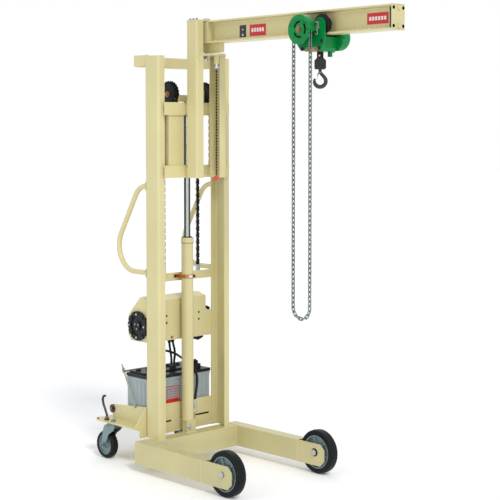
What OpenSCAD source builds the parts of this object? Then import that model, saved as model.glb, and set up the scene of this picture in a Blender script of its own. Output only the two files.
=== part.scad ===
// Battery-electric mast lifter with a swinging jib and a hand chain hoist.
// Millimetres, +Z up. The jib points along -Y, the casters are at +Y.
// Origin: on the floor, in the middle of the overall length and width.

/* [Base] */
// Height of the legs and of the cross beam
base_h = 100; // [80:5:120]
// Ground clearance under the legs
base_z = 40; // [30:5:60]
// Width over both legs
base_w = 628; // [600:4:700]
// Width of one leg
leg_w = 60; // [56:2:70]
// How far the front axle stands ahead of the mast
axle_reach = 527; // [450:1:600]
// Radius of the front wheels
wheel_r = 100; // [90:5:100]

/* [Mast] */
// Width over both mast columns
mast_w = 442; // [420:2:460]
// Depth of a column
column_d = 98; // [90:2:110]
// Flange width of a column
column_w = 38; // [36:1:50]
// Height of the column tops above the floor
mast_top = 1897; // [1800:1:1950]

/* [Jib] */
// Depth of the jib beam
beam_h = 100; // [100:1:110]
// Flange width of the jib beam
beam_w = 75; // [70:1:80]
// Height of the beam's underside above the floor
beam_z = 1953; // [1945:1:1960]
// Reach of the beam's tip ahead of the mast
jib_reach = 1223; // [1100:1:1400]
// Distance of the hook ahead of the mast
hook_reach = 794; // [600:1:900]

/* [Casters] */
// Radius of the caster wheels
caster_r = 65; // [60:1:65]
// Distance of the caster axles behind the mast's front
caster_reach = 366; // [350:1:400]

/* [Hidden] */
$fn = 48;

// colours of the finishes
cream = [0.84, 0.80, 0.60];
green = [0.05, 0.55, 0.32];
black = [0.10, 0.10, 0.11];
zinc = [0.66, 0.68, 0.69];
chromate = [0.78, 0.66, 0.38];
rubber = [0.09, 0.09, 0.09];
grey = [0.62, 0.66, 0.70];
red = [0.82, 0.10, 0.12];

// the mast's front face stands this far behind the origin
shelf_reach = caster_reach + 79;
mast_y = (jib_reach - shelf_reach) / 2;

// radial play between a pin and its bore
play = 0.05;

// base
base_top = base_z + base_h;
leg_x = base_w / 2;
leg_in = leg_x - leg_w;
leg_front = -axle_reach - 56;
leg_rear = 64;
box_end = -415;
beam_front = -9;
foot_half = 27;
wheel_x = leg_x - leg_w / 2;
axle_r = 8;
axle_end = leg_x + 7;

// mast
col_x = mast_w / 2;
col_t = 6;
ram_y = 58;
ram_r = 28;
rod_r = 15;
ram_foot = base_top + 57;
ram_top = 1059;
port_z = 222;
midbar_z = 855;
midbar_h = 38;

// carriage, its plates stand in front of the columns
plate_half = 196;
plate_y = -20;
plate_t = 8;
plate_h = 57;
low_z = 1342;
high_z = 1628;
carriage_top = 1686;
side_x = 160;
roller_r = 41;

// jib posts and hinge
post_in = 50;
post_w = 40;
post_y = -115;
post_d = 71;
post_t = 5;
pivot_y = -80;
pin_r = 10;
lug_z = beam_z + beam_h - 1;
tongue_z = beam_z - 57;
tongue_t = 9;
plunger_y = -148;
plunger_z = tongue_z - 58;

// lifting chains
chain_x = 105;
pitch_r = 46;
sheave_z = 1724;
chain_w = 16;
chain_t = 10;
anchor_z = 921;
front_chain_z = low_z + plate_h;

// beam
beam_t = 7;
web_t = 5;
beam_root = -130;
end_y = -jib_reach + 6;
end_t = 6;

// hoist and trolley
hoist_y = -hook_reach;
tread_r = 33;
rim_r = 44.5;
link_wire = 2.2;
link_inside = 26.3;
link_bend = 6.8;
track_z = beam_z + beam_t + tread_r + 0.4;
track_pitch = 50;
plate_x = 50;
hand_y = hoist_y + 15;
hand_z = 1973;
hand_r = 48;
hand_x = -94;
loop_z = 770;

// hook, its plane stands across the floor at an angle
hook_turn = -43.87;
hook_r = 8;
bowl_r = 24;
bowl_z = 1763;

// casters
caster_x = 240;
shelf_z = 172;
shelf_t = 8;
swivel_y = caster_reach - 45;
fork_in = 21;

// places everything that is measured from the mast's front face
module at_mast() {
  translate([0, mast_y, 0]) children();
}

// both mirror images of a piece
module both_sides() {
  children();
  mirror([1, 0, 0]) children();
}

// a box given by its lowest and highest corners
module block(low, high) {
  translate(low) cube(high - low);
}

// a round bar along X, at y and z
module bar_x(r, x0, x1, y, z) {
  translate([x0, y, z]) rotate([0, 90, 0]) cylinder(r = r, h = x1 - x0);
}

// a round bar along Z, at x and y
module bar_z(r, z0, z1, x, y) {
  translate([x, y, z0]) cylinder(r = r, h = z1 - z0);
}

// a hexagon head or nut along Z, across its flats
module hex_z(flats, z0, z1, x, y) {
  translate([x, y, z0]) cylinder(d = flats / cos(30), h = z1 - z0, $fn = 6);
}

// a hexagon head or nut along X, across its flats
module hex_x(flats, x0, x1, y, z) {
  translate([x0, y, z]) rotate([0, 90, 0]) cylinder(d = flats / cos(30), h = x1 - x0, $fn = 6);
}

// a plate in the Y-Z plane between x0 and x1, from an outline of [y, z] points
module side_plate(x0, x1, outline) {
  translate([x0, 0, 0]) rotate([90, 0, 90]) linear_extrude(x1 - x0) polygon(outline);
}

// a plate in the X-Z plane between y0 and y1, from an outline of [x, z] points
module face_plate(y0, y1, outline) {
  translate([0, y1, 0]) rotate([90, 0, 0]) linear_extrude(y1 - y0) polygon(outline);
}

// a round bar between two [y, z] points at one x; it starts lead before p and ends lead after q
module slant_bar(r, x, p, q, lead = 0) {
  d = q - p;
  translate([x, p[0], p[1]]) rotate([90, 0, 90]) rotate([0, 0, atan2(d[1], d[0])])
    translate([-lead, 0, 0]) rotate([0, 90, 0]) cylinder(r = r, h = norm(d) + 2 * lead);
}

// a bend of a round bar in the Y-Z plane, from angle a0 to a1 about centre [y, z]; it is a little
// thicker than the bars that run into it
module bend(r, x, centre, radius, a0, a1) {
  translate([x, centre[0], centre[1]]) rotate([90, 0, 90]) rotate([0, 0, a0])
    rotate_extrude(angle = a1 - a0) translate([radius, 0]) circle(r + 0.3);
}

// section of a channel, its web along x = 0 and open towards +X, with round outer corners
module channel_section(w, d, t, r) {
  difference() {
    corner_plate(w, d, r);
    translate([t, t]) corner_plate(w, d - 2 * t, max(r - t, 1));
  }
}

// rectangle with its two corners at x = 0 rounded
module corner_plate(w, d, r) {
  translate([r, 0]) square([w - r, d]);
  translate([0, r]) square([r + 0.01, d - 2 * r]);
  translate([r, r]) circle(r);
  translate([r, d - r]) circle(r);
}

// a tube through a list of points, as one closed surface
module swept_tube(path, r, sides) {
  n = len(path);
  points = [for (i = [0 : n - 1], k = [0 : sides - 1])
    let (t = along(path, i), a = across(t), b = cross(t, a), w = 360 * k / sides)
    path[i] + r * (a * cos(w) + b * sin(w))];
  walls = [for (i = [0 : n - 2], k = [0 : sides - 1])
    [i * sides + k, i * sides + (k + 1) % sides, (i + 1) * sides + (k + 1) % sides, (i + 1) * sides + k]];
  first = [for (k = [sides - 1 : -1 : 0]) k];
  last = [for (k = [0 : sides - 1]) (n - 1) * sides + k];
  polyhedron(points, concat([first], walls, [last]));
}
function unit(v) = v / norm(v);
function along(p, i) = unit(p[min(i + 1, len(p) - 1)] - p[max(i - 1, 0)]);
function across(t) = unit(cross(t, [0, 1, 0]));

// ---- base -----------------------------------------------------------------
// one leg: a hollow box that ends in two fork plates for its wheel
module leg() {
  chamfer = 24;
  plate = 6;
  wall = 4;
  plate_rear = box_end + 25;
  fork_outline = [[leg_front, base_z + chamfer], [leg_front + chamfer, base_z], [plate_rear, base_z],
    [plate_rear, base_top], [leg_front + chamfer, base_top], [leg_front, base_top - chamfer]];
  difference() {
    union() {
      difference() {
        block([-leg_x, box_end, base_z], [-leg_in, leg_rear, base_top]);
        block([-leg_x + wall, box_end - 1, base_z + wall], [-leg_in - wall, leg_rear - wall, base_top - wall]);
      }
      side_plate(-leg_x, -leg_x + plate, fork_outline);
      side_plate(-leg_in - plate, -leg_in, fork_outline);
    }
    bar_x(axle_r, -leg_x - 1, -leg_in + 1, -axle_reach, wheel_r);
  }
}

module legs() {
  at_mast() color(cream) both_sides() leg();
}

module front_axles() {
  at_mast() color(zinc) both_sides() {
    bar_x(axle_r, -axle_end, -leg_in + 7, -axle_reach, wheel_r);
    hex_x(24, -axle_end, -leg_x, -axle_reach, wheel_r);
    hex_x(24, -leg_in, -leg_in + 7, -axle_reach, wheel_r);
  }
}

module cross_beam() {
  wall = 5;
  foot_front = ram_y - 27;
  at_mast() color(cream) {
    difference() {
      block([-leg_in, beam_front, base_z], [leg_in, leg_rear, base_top]);
      block([-leg_in - 1, beam_front + wall, base_z + wall], [leg_in + 1, leg_rear - wall, base_top - wall]);
    }
    difference() {
      block([-foot_half, foot_front, base_top - 1], [foot_half, leg_rear, ram_foot]);
      block([-foot_half + 8, foot_front + 7, base_top + 8], [foot_half + 1, leg_rear + 1, ram_foot - 12]);
    }
  }
}

// ---- mast -----------------------------------------------------------------
module mast_columns() {
  width = 38;
  depth = 98;
  at_mast() color(cream) both_sides() translate([-col_x, 0, base_top])
    linear_extrude(mast_top - base_top) channel_section(width, depth, col_t, 14);
}

// flat bar on edge, bent round behind the column tops
module top_bow() {
  x = 203;
  t = 6;
  h = 50;
  z = mast_top - 44;
  front = 98;
  back = 235;
  r = 60;
  at_mast() color(cream) translate([0, 0, z]) {
    both_sides() {
      translate([-x, front, 0]) cube([t, back - r - front, h]);
      translate([-x + r, back - r, 0]) rotate([0, 0, 90])
        rotate_extrude(angle = 90) translate([r - t, 0]) square([t, h]);
    }
    translate([-x + r, back - t, 0]) cube([2 * (x - r), t, h]);
  }
}

module mid_bar() {
  half = 185;
  at_mast() color(cream) block([-half, 98, midbar_z], [half, 106, midbar_z + midbar_h]);
}

module cylinder_tube() {
  bore = 22;
  gland = 24;
  port = HOSE[len(HOSE) - 1] - [0, ram_y, 0];
  at_mast() color(cream) difference() {
    union() {
      bar_z(ram_r, ram_foot, ram_top - gland, 0, ram_y);
      bar_z(ram_r + 2, ram_top - gland, ram_top, 0, ram_y);
      translate([0, ram_y, port_z]) rotate([0, 0, atan2(port[1], port[0])]) translate([ram_r - 3, 0, 0])
        rotate([0, 90, 0]) cylinder(r = 8, h = norm([port[0], port[1]]) - ram_r + 3);
      bar_z(9, port_z - 9, port[2] - 3, port[0], ram_y + port[1]);
    }
    bar_z(bore, ram_foot + 12, ram_top - gland, 0, ram_y);
    bar_z(rod_r + play, ram_foot + 12, ram_top + 1, 0, ram_y);
  }
}

// band round the tube, with ears bolted to the bar behind
module cylinder_clamps() {
  low = midbar_z + 15;
  high = midbar_z + 30;
  at_mast() color(chromate) difference() {
    union() {
      bar_z(ram_r + 4, low, high, 0, ram_y);
      block([-ram_r - 4, ram_y, low], [ram_r + 4, 97, high]);
      block([-50, 94, low], [50, 98, high]);
    }
    bar_z(ram_r, low - 1, high + 1, 0, ram_y);
  }
}

// one bent tube, leaning back and then down to the column
module push_handle() {
  r = 12;
  x = -202;
  z_top = 1303;
  z_low = 903;
  lean = 58.9;
  knee_y = 162;
  knee_r = 90;
  grip_r = 116;
  front = 98;
  start = knee_y - knee_r * tan(lean / 2);
  toe_y = knee_y + (z_top - z_low) / tan(lean);
  grip_y = toe_y - grip_r * tan(90 - lean / 2);
  knee = [start, z_top - knee_r];
  grip = [grip_y, z_low + grip_r];
  ray = [cos(90 - lean), sin(90 - lean)];
  for (z = [z_top, z_low]) side_plate(x - 15, x + 15, [[front, z - 18], [front, z + 18], [front + 5, z + 18],
    [front + 5, z - 18]]);
  slant_bar(r, x, [front + 3, z_top], [start, z_top], 2);
  bend(r, x, knee, knee_r, 90 - lean, 90);
  slant_bar(r, x, knee + knee_r * ray, grip + grip_r * ray, 2);
  bend(r, x, grip, grip_r, -90, 90 - lean);
  slant_bar(r, x, [front + 3, z_low], [grip_y, z_low], 2);
}

module push_handles() {
  at_mast() color(cream) both_sides() push_handle();
}

// ---- battery and power unit -------------------------------------------------
// welded tray: side plates, floor, front plate with wings and the shelf for the casters
module battery_tray() {
  half = 193;
  t = 5;
  front = 98;
  rear = 385;
  wing = 285;
  shelf_half = 258;
  side = [[front + t, shelf_z], [rear, shelf_z], [rear, 236], [rear - 14, 250], [front + t, 274]];
  at_mast() color(cream) difference() {
    union() {
      both_sides() {
        side_plate(-half, -half + t, side);
        face_plate(front, front + t, [[-223, 273], [-wing, 192], [-wing, 180], [-223, 186]]);
        face_plate(front, front + t, [[-224, 186], [-180, 186], [-180, 279], [-224, 273]]);
      }
      block([-181, front, 176], [181, front + t, 279]);
      block([-256, front, base_top], [256, front + t, 187]);
      caster_shelf(shelf_half, front + t);
      for (x = [-150, 90]) block([x, 110, shelf_z - 30], [x + 60, 260, shelf_z]);
    }
    both_sides() {
      bar_z(axle_r, shelf_z - 1, shelf_z + shelf_t + 1, -caster_x, swivel_y);
      side_plate(-half - 1, -half + t + 1, [[298, 234], [312, 234], [312, 240], [298, 240]]);
    }
    for (x = [-150, 90]) block([x + 5, 109, shelf_z - 31], [x + 55, 261, shelf_z - 5]);
  }
}

// floor under the battery, wide enough for both casters
module caster_shelf(half, front) {
  chamfer = 18;
  outline = [[-half, front], [half, front], [half, shelf_reach - chamfer], [half - chamfer, shelf_reach],
    [-half + chamfer, shelf_reach], [-half, shelf_reach - chamfer]];
  translate([0, 0, shelf_z]) linear_extrude(shelf_t) polygon(outline);
}

module power_cover() {
  half = 205;
  step_x = 150;
  outline = [[98, 577], [98, 770], [155, 787], [238, 702], [245, 690], [245, 605], [225, 577]];
  low_outline = [[98, 577], [98, 695], [243, 695], [245, 690], [245, 605], [225, 577]];
  at_mast() color(cream) {
    side_plate(-half, step_x, outline);
    side_plate(step_x - 0.01, half, low_outline);
  }
}

module pump_motor() {
  y = 166.5;
  z = 651;
  face = -217;
  at_mast() color(black) {
    difference() {
      union() {
        bar_x(64, face, -205, y, z);
        for (a = [0 : 30 : 330]) translate([face, y, z]) rotate([a, 0, 0]) translate([0, -12, 54])
          cube([12, 24, 14]);
      }
      bar_x(46, face - 1, face + 5, y, z);
    }
    bar_x(22, face - 2, face + 6, y, z);
    for (a = [45 : 90 : 315]) hex_x(11, face - 4, face + 6, y + 54 * cos(a), z + 54 * sin(a));
  }
}

module battery_case() {
  half = 183;
  front = 110;
  rear = 281;
  low = shelf_z + shelf_t;
  rib = 3;
  at_mast() color(grey) {
    block([-half, front, low], [half, rear, 400]);
    translate([0, 0, low]) linear_extrude(200) {
      for (x = [-165 : 30 : 165]) translate([x - rib, front - 2]) square([2 * rib, rear - front + 4]);
      for (y = [front + 15 : 28 : rear - 15]) translate([-half - 2, y - rib]) square([2 * half + 4, 2 * rib]);
    }
    block([-half - 2, front - 2, 386], [half + 2, rear + 2, 397]);
  }
}

module battery_lid() {
  half = 187;
  front = 106;
  rear = 285;
  at_mast() color(black) {
    block([-half, front, 400], [half, rear, 414]);
    block([-half + 14, front + 60, 413], [half - 14, rear - 8, 422]);
    for (i = [-2.5 : 2.5]) {
      bar_z(13, 421, 430, i * 60, 240);
      block([i * 60 - 11, 238, 429], [i * 60 + 11, 242, 433]);
    }
    for (c = [LEFT_CABLE, MIDDLE_CABLE]) let (p = c[len(c) - 1]) bar_z(9, 421, p[2], p[0], p[1]);
    block([104, 124, 413], [140, 158, 438]);
    block([110, 130, 437], [128, 152, 454]);
    block([-half + 12, front + 8, 413], [-half + 60, front + 44, 432]);
  }
}

module battery_clamp() {
  r = 4;
  x = 198;
  low = [205, 262];
  high = [289, 420];
  end = high + 34 * (high - low) / norm(high - low);
  at_mast() color(zinc) {
    both_sides() {
      bar_x(r, -x, -193, low[0], low[1]);
      slant_bar(r, -x, low, end);
      translate([-x, low[0], low[1]]) sphere(r + 1);
      bar_x(r + 3, -x - 6, -x + 6, high[0], high[1]);
    }
    bar_x(r + 1, -x, x, high[0], high[1]);
  }
}

// routes of the battery cables, from under the cover down to the terminals
LEFT_CABLE = [[-35, 150, 577], [-35, 150, 562], [-33, 150, 544], [-29, 151, 525], [-25, 152, 506],
  [-20, 154, 487], [-16, 157, 469], [-14, 160, 456], [-14, 160, 441]];
MIDDLE_CABLE = [[-14, 150, 577], [-14, 150, 562], [-9, 151, 544], [-2, 153, 527], [4, 156, 510], [8, 160, 492],
  [10, 165, 474], [10, 168, 458], [10, 168, 441]];
RIGHT_CABLE = [[-122, 130, 577], [-122, 130, 561], [-116, 130, 546], [-101, 130, 533], [-79, 130, 525],
  [-55, 130, 518], [-30, 130, 509], [-5, 130, 497], [20, 131, 481], [44, 133, 466], [68, 136, 455],
  [84, 140, 448], [96, 141.5, 446], [110, 141.5, 446]];
// route of the hose, from under the cover to the elbow at the cylinder's foot
HOSE = [[50, 110, 577], [50, 110, 560], [50, 108, 535], [50, 104, 510], [51, 99, 485], [55, 94, 460],
  [64, 89, 435], [75, 86, 410], [82, 85, 385], [83, 85, 358], [79, 85, 330], [73, 85, 302], [69, 85, 275], [67, 85, 252],
  [67, 85, 236]];

module cable(route, r, sides) {
  at_mast() color(black) swept_tube(route, r, sides);
}

module left_battery_cable() {
  cable(LEFT_CABLE, 5.5, 8);
}

module middle_battery_cable() {
  cable(MIDDLE_CABLE, 5.5, 8);
}

module right_battery_cable() {
  cable(RIGHT_CABLE, 5.5, 8);
}

module hydraulic_hose() {
  cable(HOSE, 6, 8);
}

// S-shaped foot levers beside the tray, and the round bumper on each of its side plates
module brake_pedals() {
  r = 5.5;
  x = -238;
  path = [[372, 180], [372, 205], [384, 228], [398, 252], [404, 274], [398, 290], [386, 294]];
  at_mast() color(black) both_sides() {
    for (i = [0 : len(path) - 2]) slant_bar(r, x, path[i], path[i + 1]);
    for (i = [1 : len(path) - 1]) translate([x, path[i][0], path[i][1]]) sphere(r + 0.6);
    bar_z(12, path[0][1], 188, x, path[0][0]);
    difference() {
      bar_x(20, -197, -180, 384, 227);
      block([-193, 300, 200], [-188, 400, 251]);
    }
    hex_x(13, -202, -196, 384, 227);
  }
}

// ---- lifting chains ---------------------------------------------------------
module chain_anchors() {
  at_mast() color(zinc) both_sides() {
    block([-chain_x - 9, 98, midbar_z + midbar_h], [-chain_x + 9, 110, anchor_z]);
  }
}

// a straight run of leaf chain: wide and narrow links take turns on their pins, and the strand's
// ends are square
module chain_strand(x, y, z0, z1) {
  links = 2 * round((z1 - z0) / 32);
  pitch = (z1 - z0 - 10) / links;
  for (i = [0 : links - 1]) let (wide = i % 2 == 0, w = wide ? chain_w : chain_w - 6, r = wide ? 5 : 4.6)
    translate([x - w / 2, y, z0 + 5 + i * pitch]) rotate([90, 0, 90]) linear_extrude(w) {
      translate([-r + 0.8, 0]) square([2 * r - 1.6, pitch]);
      circle(r);
      translate([0, pitch]) circle(r);
    }
  for (z = [z0, z1 - 6]) block([x - 4, y - 4, z], [x + 4, y + 4, z + 6]);
}

module rear_chains() {
  at_mast() color(black) both_sides() chain_strand(-chain_x, ram_y + pitch_r, anchor_z, sheave_z);
}

module front_chains() {
  at_mast() color(black) both_sides() chain_strand(-chain_x, ram_y - pitch_r, front_chain_z, sheave_z);
}

module chain_arcs() {
  at_mast() color(black) both_sides() translate([-chain_x - chain_w / 2, ram_y, sheave_z]) rotate([90, 0, 90])
    rotate_extrude(angle = 180) translate([pitch_r - chain_t / 2, 0]) square([chain_t, chain_w]);
}

module chain_sheaves() {
  root = pitch_r - chain_t / 2 - 0.4;
  rim = 51;
  half = 12;
  groove = chain_w / 2 + 1;
  at_mast() color(chromate) both_sides() translate([-chain_x, ram_y, sheave_z]) rotate([0, 90, 0])
    rotate_extrude() polygon([[12 + play, -half], [rim, -half], [rim, -groove - 1], [root, -groove],
      [root, groove], [rim, groove + 1], [rim, half], [12 + play, half]]);
}

// ---- ram rod and crosshead ----------------------------------------------------
module piston_rod() {
  at_mast() color(black) {
    bar_z(rod_r, 950, 1691, 0, ram_y);
    bar_z(22 - play, 950, 975, 0, ram_y);
  }
}

module crosshead() {
  half = 92;
  at_mast() color(cream) {
    block([-half, ram_y - 20, 1691], [half, ram_y + 20, 1722]);
    block([-half, ram_y - 20, 1700], [-half + 8, ram_y + 20, 1748]);
    block([half - 8, ram_y - 20, 1700], [half, ram_y + 20, 1748]);
    bar_x(12, -chain_x - 14, -half + 8, ram_y, sheave_z);
    bar_x(12, half - 8, chain_x + 14, ram_y, sheave_z);
  }
}

// ---- carriage -----------------------------------------------------------------
module cross_plates() {
  at_mast() color(cream) {
    block([-plate_half, plate_y, low_z], [plate_half, plate_y + plate_t, low_z + plate_h]);
    block([-plate_half, plate_y, high_z], [plate_half, plate_y + plate_t, carriage_top]);
  }
}

module carriage_sides() {
  rear = plate_y + plate_t;
  at_mast() color(cream) both_sides() {
    block([-side_x - 8, rear, low_z], [-80, rear + 6, carriage_top]);
    block([-side_x - 8, rear, low_z], [-side_x, 84, carriage_top]);
    block([-chain_x - 12, rear, front_chain_z - 24], [-chain_x + 12, ram_y - pitch_r + 8, front_chain_z]);
    for (z = [low_z + 45, carriage_top - 45]) bar_x(12, -214, -side_x, 49, z);
  }
}

module carriage_rollers() {
  at_mast() color(zinc) both_sides() for (z = [low_z + 45, carriage_top - 45]) difference() {
    bar_x(roller_r, -212, -180, 49, z);
    bar_x(12, -213, -179, 49, z);
  }
}

// two channels, the top lug with the pin's upper bore and the tongue that ties them
module jib_posts() {
  left_top = lug_z + 6;
  pad = 8;
  at_mast() color(cream) difference() {
    union() {
      jib_post(lug_z + 1);
      mirror([1, 0, 0]) jib_post(tongue_z + 1);
      block([-post_in - post_w, pivot_y - 30, lug_z], [22, pivot_y + 30, left_top]);
      tongue();
      bar_z(11.5, tongue_z - 36, tongue_z + 1, 0, plunger_y);
      for (z = [low_z, high_z]) both_sides()
        block([-75, post_y + post_d - 1, z + pad], [-57, plate_y, z + plate_h - pad]);
    }
    bar_z(pin_r, tongue_z - 1, left_top + 1, 0, pivot_y);
    bar_z(7.5 + play, tongue_z - 37, tongue_z + tongue_t + 1, 0, plunger_y);
  }
}

// plate across both posts that carries the lower bore and the plunger's bush
module tongue() {
  right = post_in + post_w;
  rear = post_y + post_d - 1;
  translate([0, 0, tongue_z]) linear_extrude(tongue_t)
    polygon([[-post_in - 2, rear], [-post_in - 2, -186], [20, -186], [right, post_y], [right, rear]]);
}

module jib_post(top) {
  translate([-post_in - post_w, post_y, low_z]) linear_extrude(top - low_z)
    channel_section(post_w, post_d, post_t, 8);
}

module hinge_pin() {
  at_mast() color(zinc) {
    bar_z(pin_r, tongue_z - 14, lug_z + 16, 0, pivot_y);
    hex_z(30, lug_z + 6, lug_z + 15, 0, pivot_y);
    hex_z(30, tongue_z - 10, tongue_z, 0, pivot_y);
  }
}

module lock_plunger() {
  at_mast() color(zinc) {
    bar_z(7.5, plunger_z, tongue_z + tongue_t, 0, plunger_y);
    bar_z(11, plunger_z, plunger_z + 8, 0, plunger_y);
  }
}

module pull_chain() {
  at_mast() color(zinc) bar_z(1.5, low_z + 5, plunger_z, 0, plunger_y);
}

module pull_knob() {
  at_mast() color(red) difference() {
    translate([0, plunger_y, low_z]) sphere(11.5);
    bar_z(1.5, low_z + 5, low_z + 12, 0, plunger_y);
  }
}

// ---- jib ----------------------------------------------------------------------
module jib_beam() {
  h = beam_h;
  w = beam_w / 2;
  length = beam_root - end_y - end_t;
  at_mast() color(cream) {
    translate([0, beam_root, beam_z]) rotate([90, 0, 0]) linear_extrude(length) union() {
      translate([-w, 0]) square([2 * w, beam_t]);
      translate([-w, h - beam_t]) square([2 * w, beam_t]);
      translate([-web_t / 2, 1]) square([web_t, h - 2]);
    }
    block([-w, end_y, beam_z - 1], [w, end_y + end_t + 0.01, beam_z + h + 1]);
    for (z = [beam_z + 14, beam_z + h - 14]) translate([0, end_y + 0.01, z]) rotate([90, 0, 0])
      cylinder(d = 18, h = 6, $fn = 6);
  }
}

// eye on the pin, the foot that rides over the tongue and the plates between eye and beam
module jib_root() {
  eye = 15.5;
  foot_z = tongue_z + tongue_t + 6;
  foot_y = -187;
  at_mast() color(cream) difference() {
    union() {
      bar_z(eye, foot_z + 2, lug_z - 2, 0, pivot_y);
      block([-12.5, foot_y, foot_z], [12.5, pivot_y - 5, beam_z]);
      block([-36, beam_root, beam_z], [36, pivot_y - 11, lug_z - 4]);
    }
    bar_z(pin_r + play, foot_z - 1, lug_z, 0, pivot_y);
    bar_z(8, foot_z - 1, foot_z + 14, 0, plunger_y);
  }
}

// ---- trolley and hoist ----------------------------------------------------------
module trolley_plates() {
  t = 8;
  lobe = 28;
  half = 78;
  at_mast() color(green) both_sides() {
    translate([-plate_x - t, hoist_y, 0]) rotate([90, 0, 90]) linear_extrude(t) {
      for (y = [-track_pitch, track_pitch]) translate([y, track_z]) circle(lobe);
      polygon([[-half, track_z], [-half, 1915], [-half + 22, 1888], [half - 22, 1888], [half, 1915],
        [half, track_z], [34, 1984], [-34, 1984]]);
    }
    for (y = [-track_pitch, track_pitch]) {
      bar_x(axle_r - play, -plate_x - 1, -18, hoist_y + y, track_z);
      hex_x(20, -plate_x - t - 7, -plate_x - t + 1, hoist_y + y, track_z);
    }
  }
}

// the load sheave's housing below the beam, the chain anchor and the bearing of the hand wheel
module hoist_body() {
  low = 1885;
  at_mast() color(green) {
    side_plate(-plate_x, plate_x, [[hoist_y - 50, low + 12], [hoist_y - 38, low], [hoist_y + 38, low],
      [hoist_y + 50, low + 12], [hoist_y + 50, beam_z - 8], [hoist_y - 50, beam_z - 8]]);
    block([18, hoist_y - 40, 1863], [32, hoist_y - 26, low + 3]);
    bar_x(26, -80, -plate_x - 8, hand_y, hand_z);
    bar_x(axle_r - play, hand_x - 26, -79, hand_y, hand_z);
  }
}

module gear_case() {
  r = 52;
  z = 1945;
  deep = 88;
  round = 26;
  at_mast() color(green) {
    translate([plate_x + 8, hoist_y, z]) rotate([90, 0, 90]) rotate_extrude() {
      square([r, deep - round]);
      square([r - round, deep]);
      translate([r - round, deep - round]) intersection() {
        circle(round);
        square(round);
      }
    }
    for (a = [180 : 45 : 360]) bar_x(9, plate_x + 8, plate_x + 24, hoist_y + 53 * cos(a), z + 53 * sin(a));
  }
}

module hand_wheel() {
  groove = hand_r - 11.6;
  ledge = hand_r - 4.5;
  at_mast() color(zinc) translate([hand_x, hand_y, hand_z]) rotate([0, 90, 0]) rotate_extrude()
    polygon([[8, -8], [18, -8], [18, -4], [30, -4], [ledge - 4, -8], [ledge, -7], [ledge, -3.2], [groove, -3.2],
      [groove, 3.2], [ledge, 3.2], [ledge, 7], [ledge - 4, 8], [30, 4], [18, 4], [18, 8], [8, 8]]);
}

module wheel_cover() {
  outer = 61.5;
  wall = 3;
  face = hand_x - 18;
  at_mast() color(green) {
    translate([face, hand_y, hand_z]) rotate([90, 0, 90]) {
      difference() {
        rotate_extrude() polygon([[8, 0], [20, 0], [26, 3], [38, 3], [44, -2], [outer, -2], [outer, 3], [46, 3],
          [40, 5], [24, 5], [18, 4], [8, 4]]);
        for (a = [15 : 120 : 255]) rotate([0, 0, a]) rotate_extrude(angle = 82) translate([27, -3])
          square([9, 12]);
      }
      rotate([0, 0, -8]) rotate_extrude(angle = 196) translate([outer - wall, 1]) square([wall - 0.3, 29]);
      translate([-outer - 6, -4, -2]) cube([9, 16, 5]);
    }
    for (a = [20, 150, 183])
      bar_x(3, hand_x + 10, -plate_x - 8, hand_y + 60.5 * cos(a), hand_z + 60.5 * sin(a));
  }
}

module hand_chain() {
  run = hand_z - (loop_z + hand_r);
  run_links = 45;
  turn_links = 6;
  step = run / run_links;
  sweep = 180 / turn_links;
  bottom = loop_z + hand_r;
  at_mast() color(zinc) translate([hand_x, hand_y, 0]) {
    for (i = [0 : run_links - 1]) {
      chain_link([hand_r, bottom + (i + 0.5) * step], 90, i);
      chain_link([-hand_r, bottom + (i + 0.5) * step], 90, i + 1);
    }
    for (i = [0 : turn_links - 1]) let (a = (i + 0.5) * sweep, mid = hand_r * cos(sweep / 2)) {
      chain_link([mid * cos(a), hand_z + mid * sin(a)], a + 90, i + 1);
      chain_link([-mid * cos(a), bottom - mid * sin(a)], a + 90, i);
    }
  }
}

// one welded link about a point [y, z], its length along the angle; every second one is turned.
// Its wire is square here, which keeps the long chain light.
module chain_link(at, angle, turn) {
  reach = link_inside / 2 - link_bend + link_wire;
  half = 0.9 * link_wire;
  translate([0, at[0], at[1]]) rotate([90, 0, 90]) rotate([0, 0, angle]) rotate([90 * (turn % 2), 0, 0])
    translate([0, 0, -half]) linear_extrude(2 * half) difference() {
      link_outline(reach, link_bend + link_wire);
      link_outline(reach, link_bend - link_wire);
    }
}

module link_outline(reach, r) {
  square([2 * reach, 2 * r], center = true);
  for (x = [-reach, reach]) translate([x, 0]) circle(r);
}

// one wheel on the lower flange; side is -1 or 1, end is -1 at the front
module track_roller(side, end) {
  profile = [[8, 20], [tread_r, 20], [tread_r, 38.5], [rim_r, 40], [rim_r, 44], [22, 48], [8, 48]];
  at_mast() color(black) translate([0, hoist_y + end * track_pitch, track_z]) mirror([side < 0 ? 1 : 0, 0, 0])
    rotate([0, 90, 0]) rotate_extrude() polygon(profile);
}

// swivel block under the hoist
module hook_block() {
  low = 1812;
  high = 1858;
  at_mast() color(black) translate([0, hoist_y, 0]) rotate([0, 0, hook_turn]) {
    bar_z(14, high - 1, 1884, 0, 0);
    face_plate(-15, 15, [[-20, low], [20, low], [24, low + 5], [24, high - 9], [15, high], [-15, high],
      [-24, high - 9], [-24, low + 5]]);
    for (s = [0, 1]) mirror([0, s, 0]) translate([0, 14, (low + high) / 2]) rotate([-90, 0, 0])
      cylinder(d = 16, h = 6, $fn = 6);
  }
}

module in_hook_plane() {
  at_mast() translate([0, hoist_y, 0]) rotate([0, 0, hook_turn]) children();
}

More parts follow.
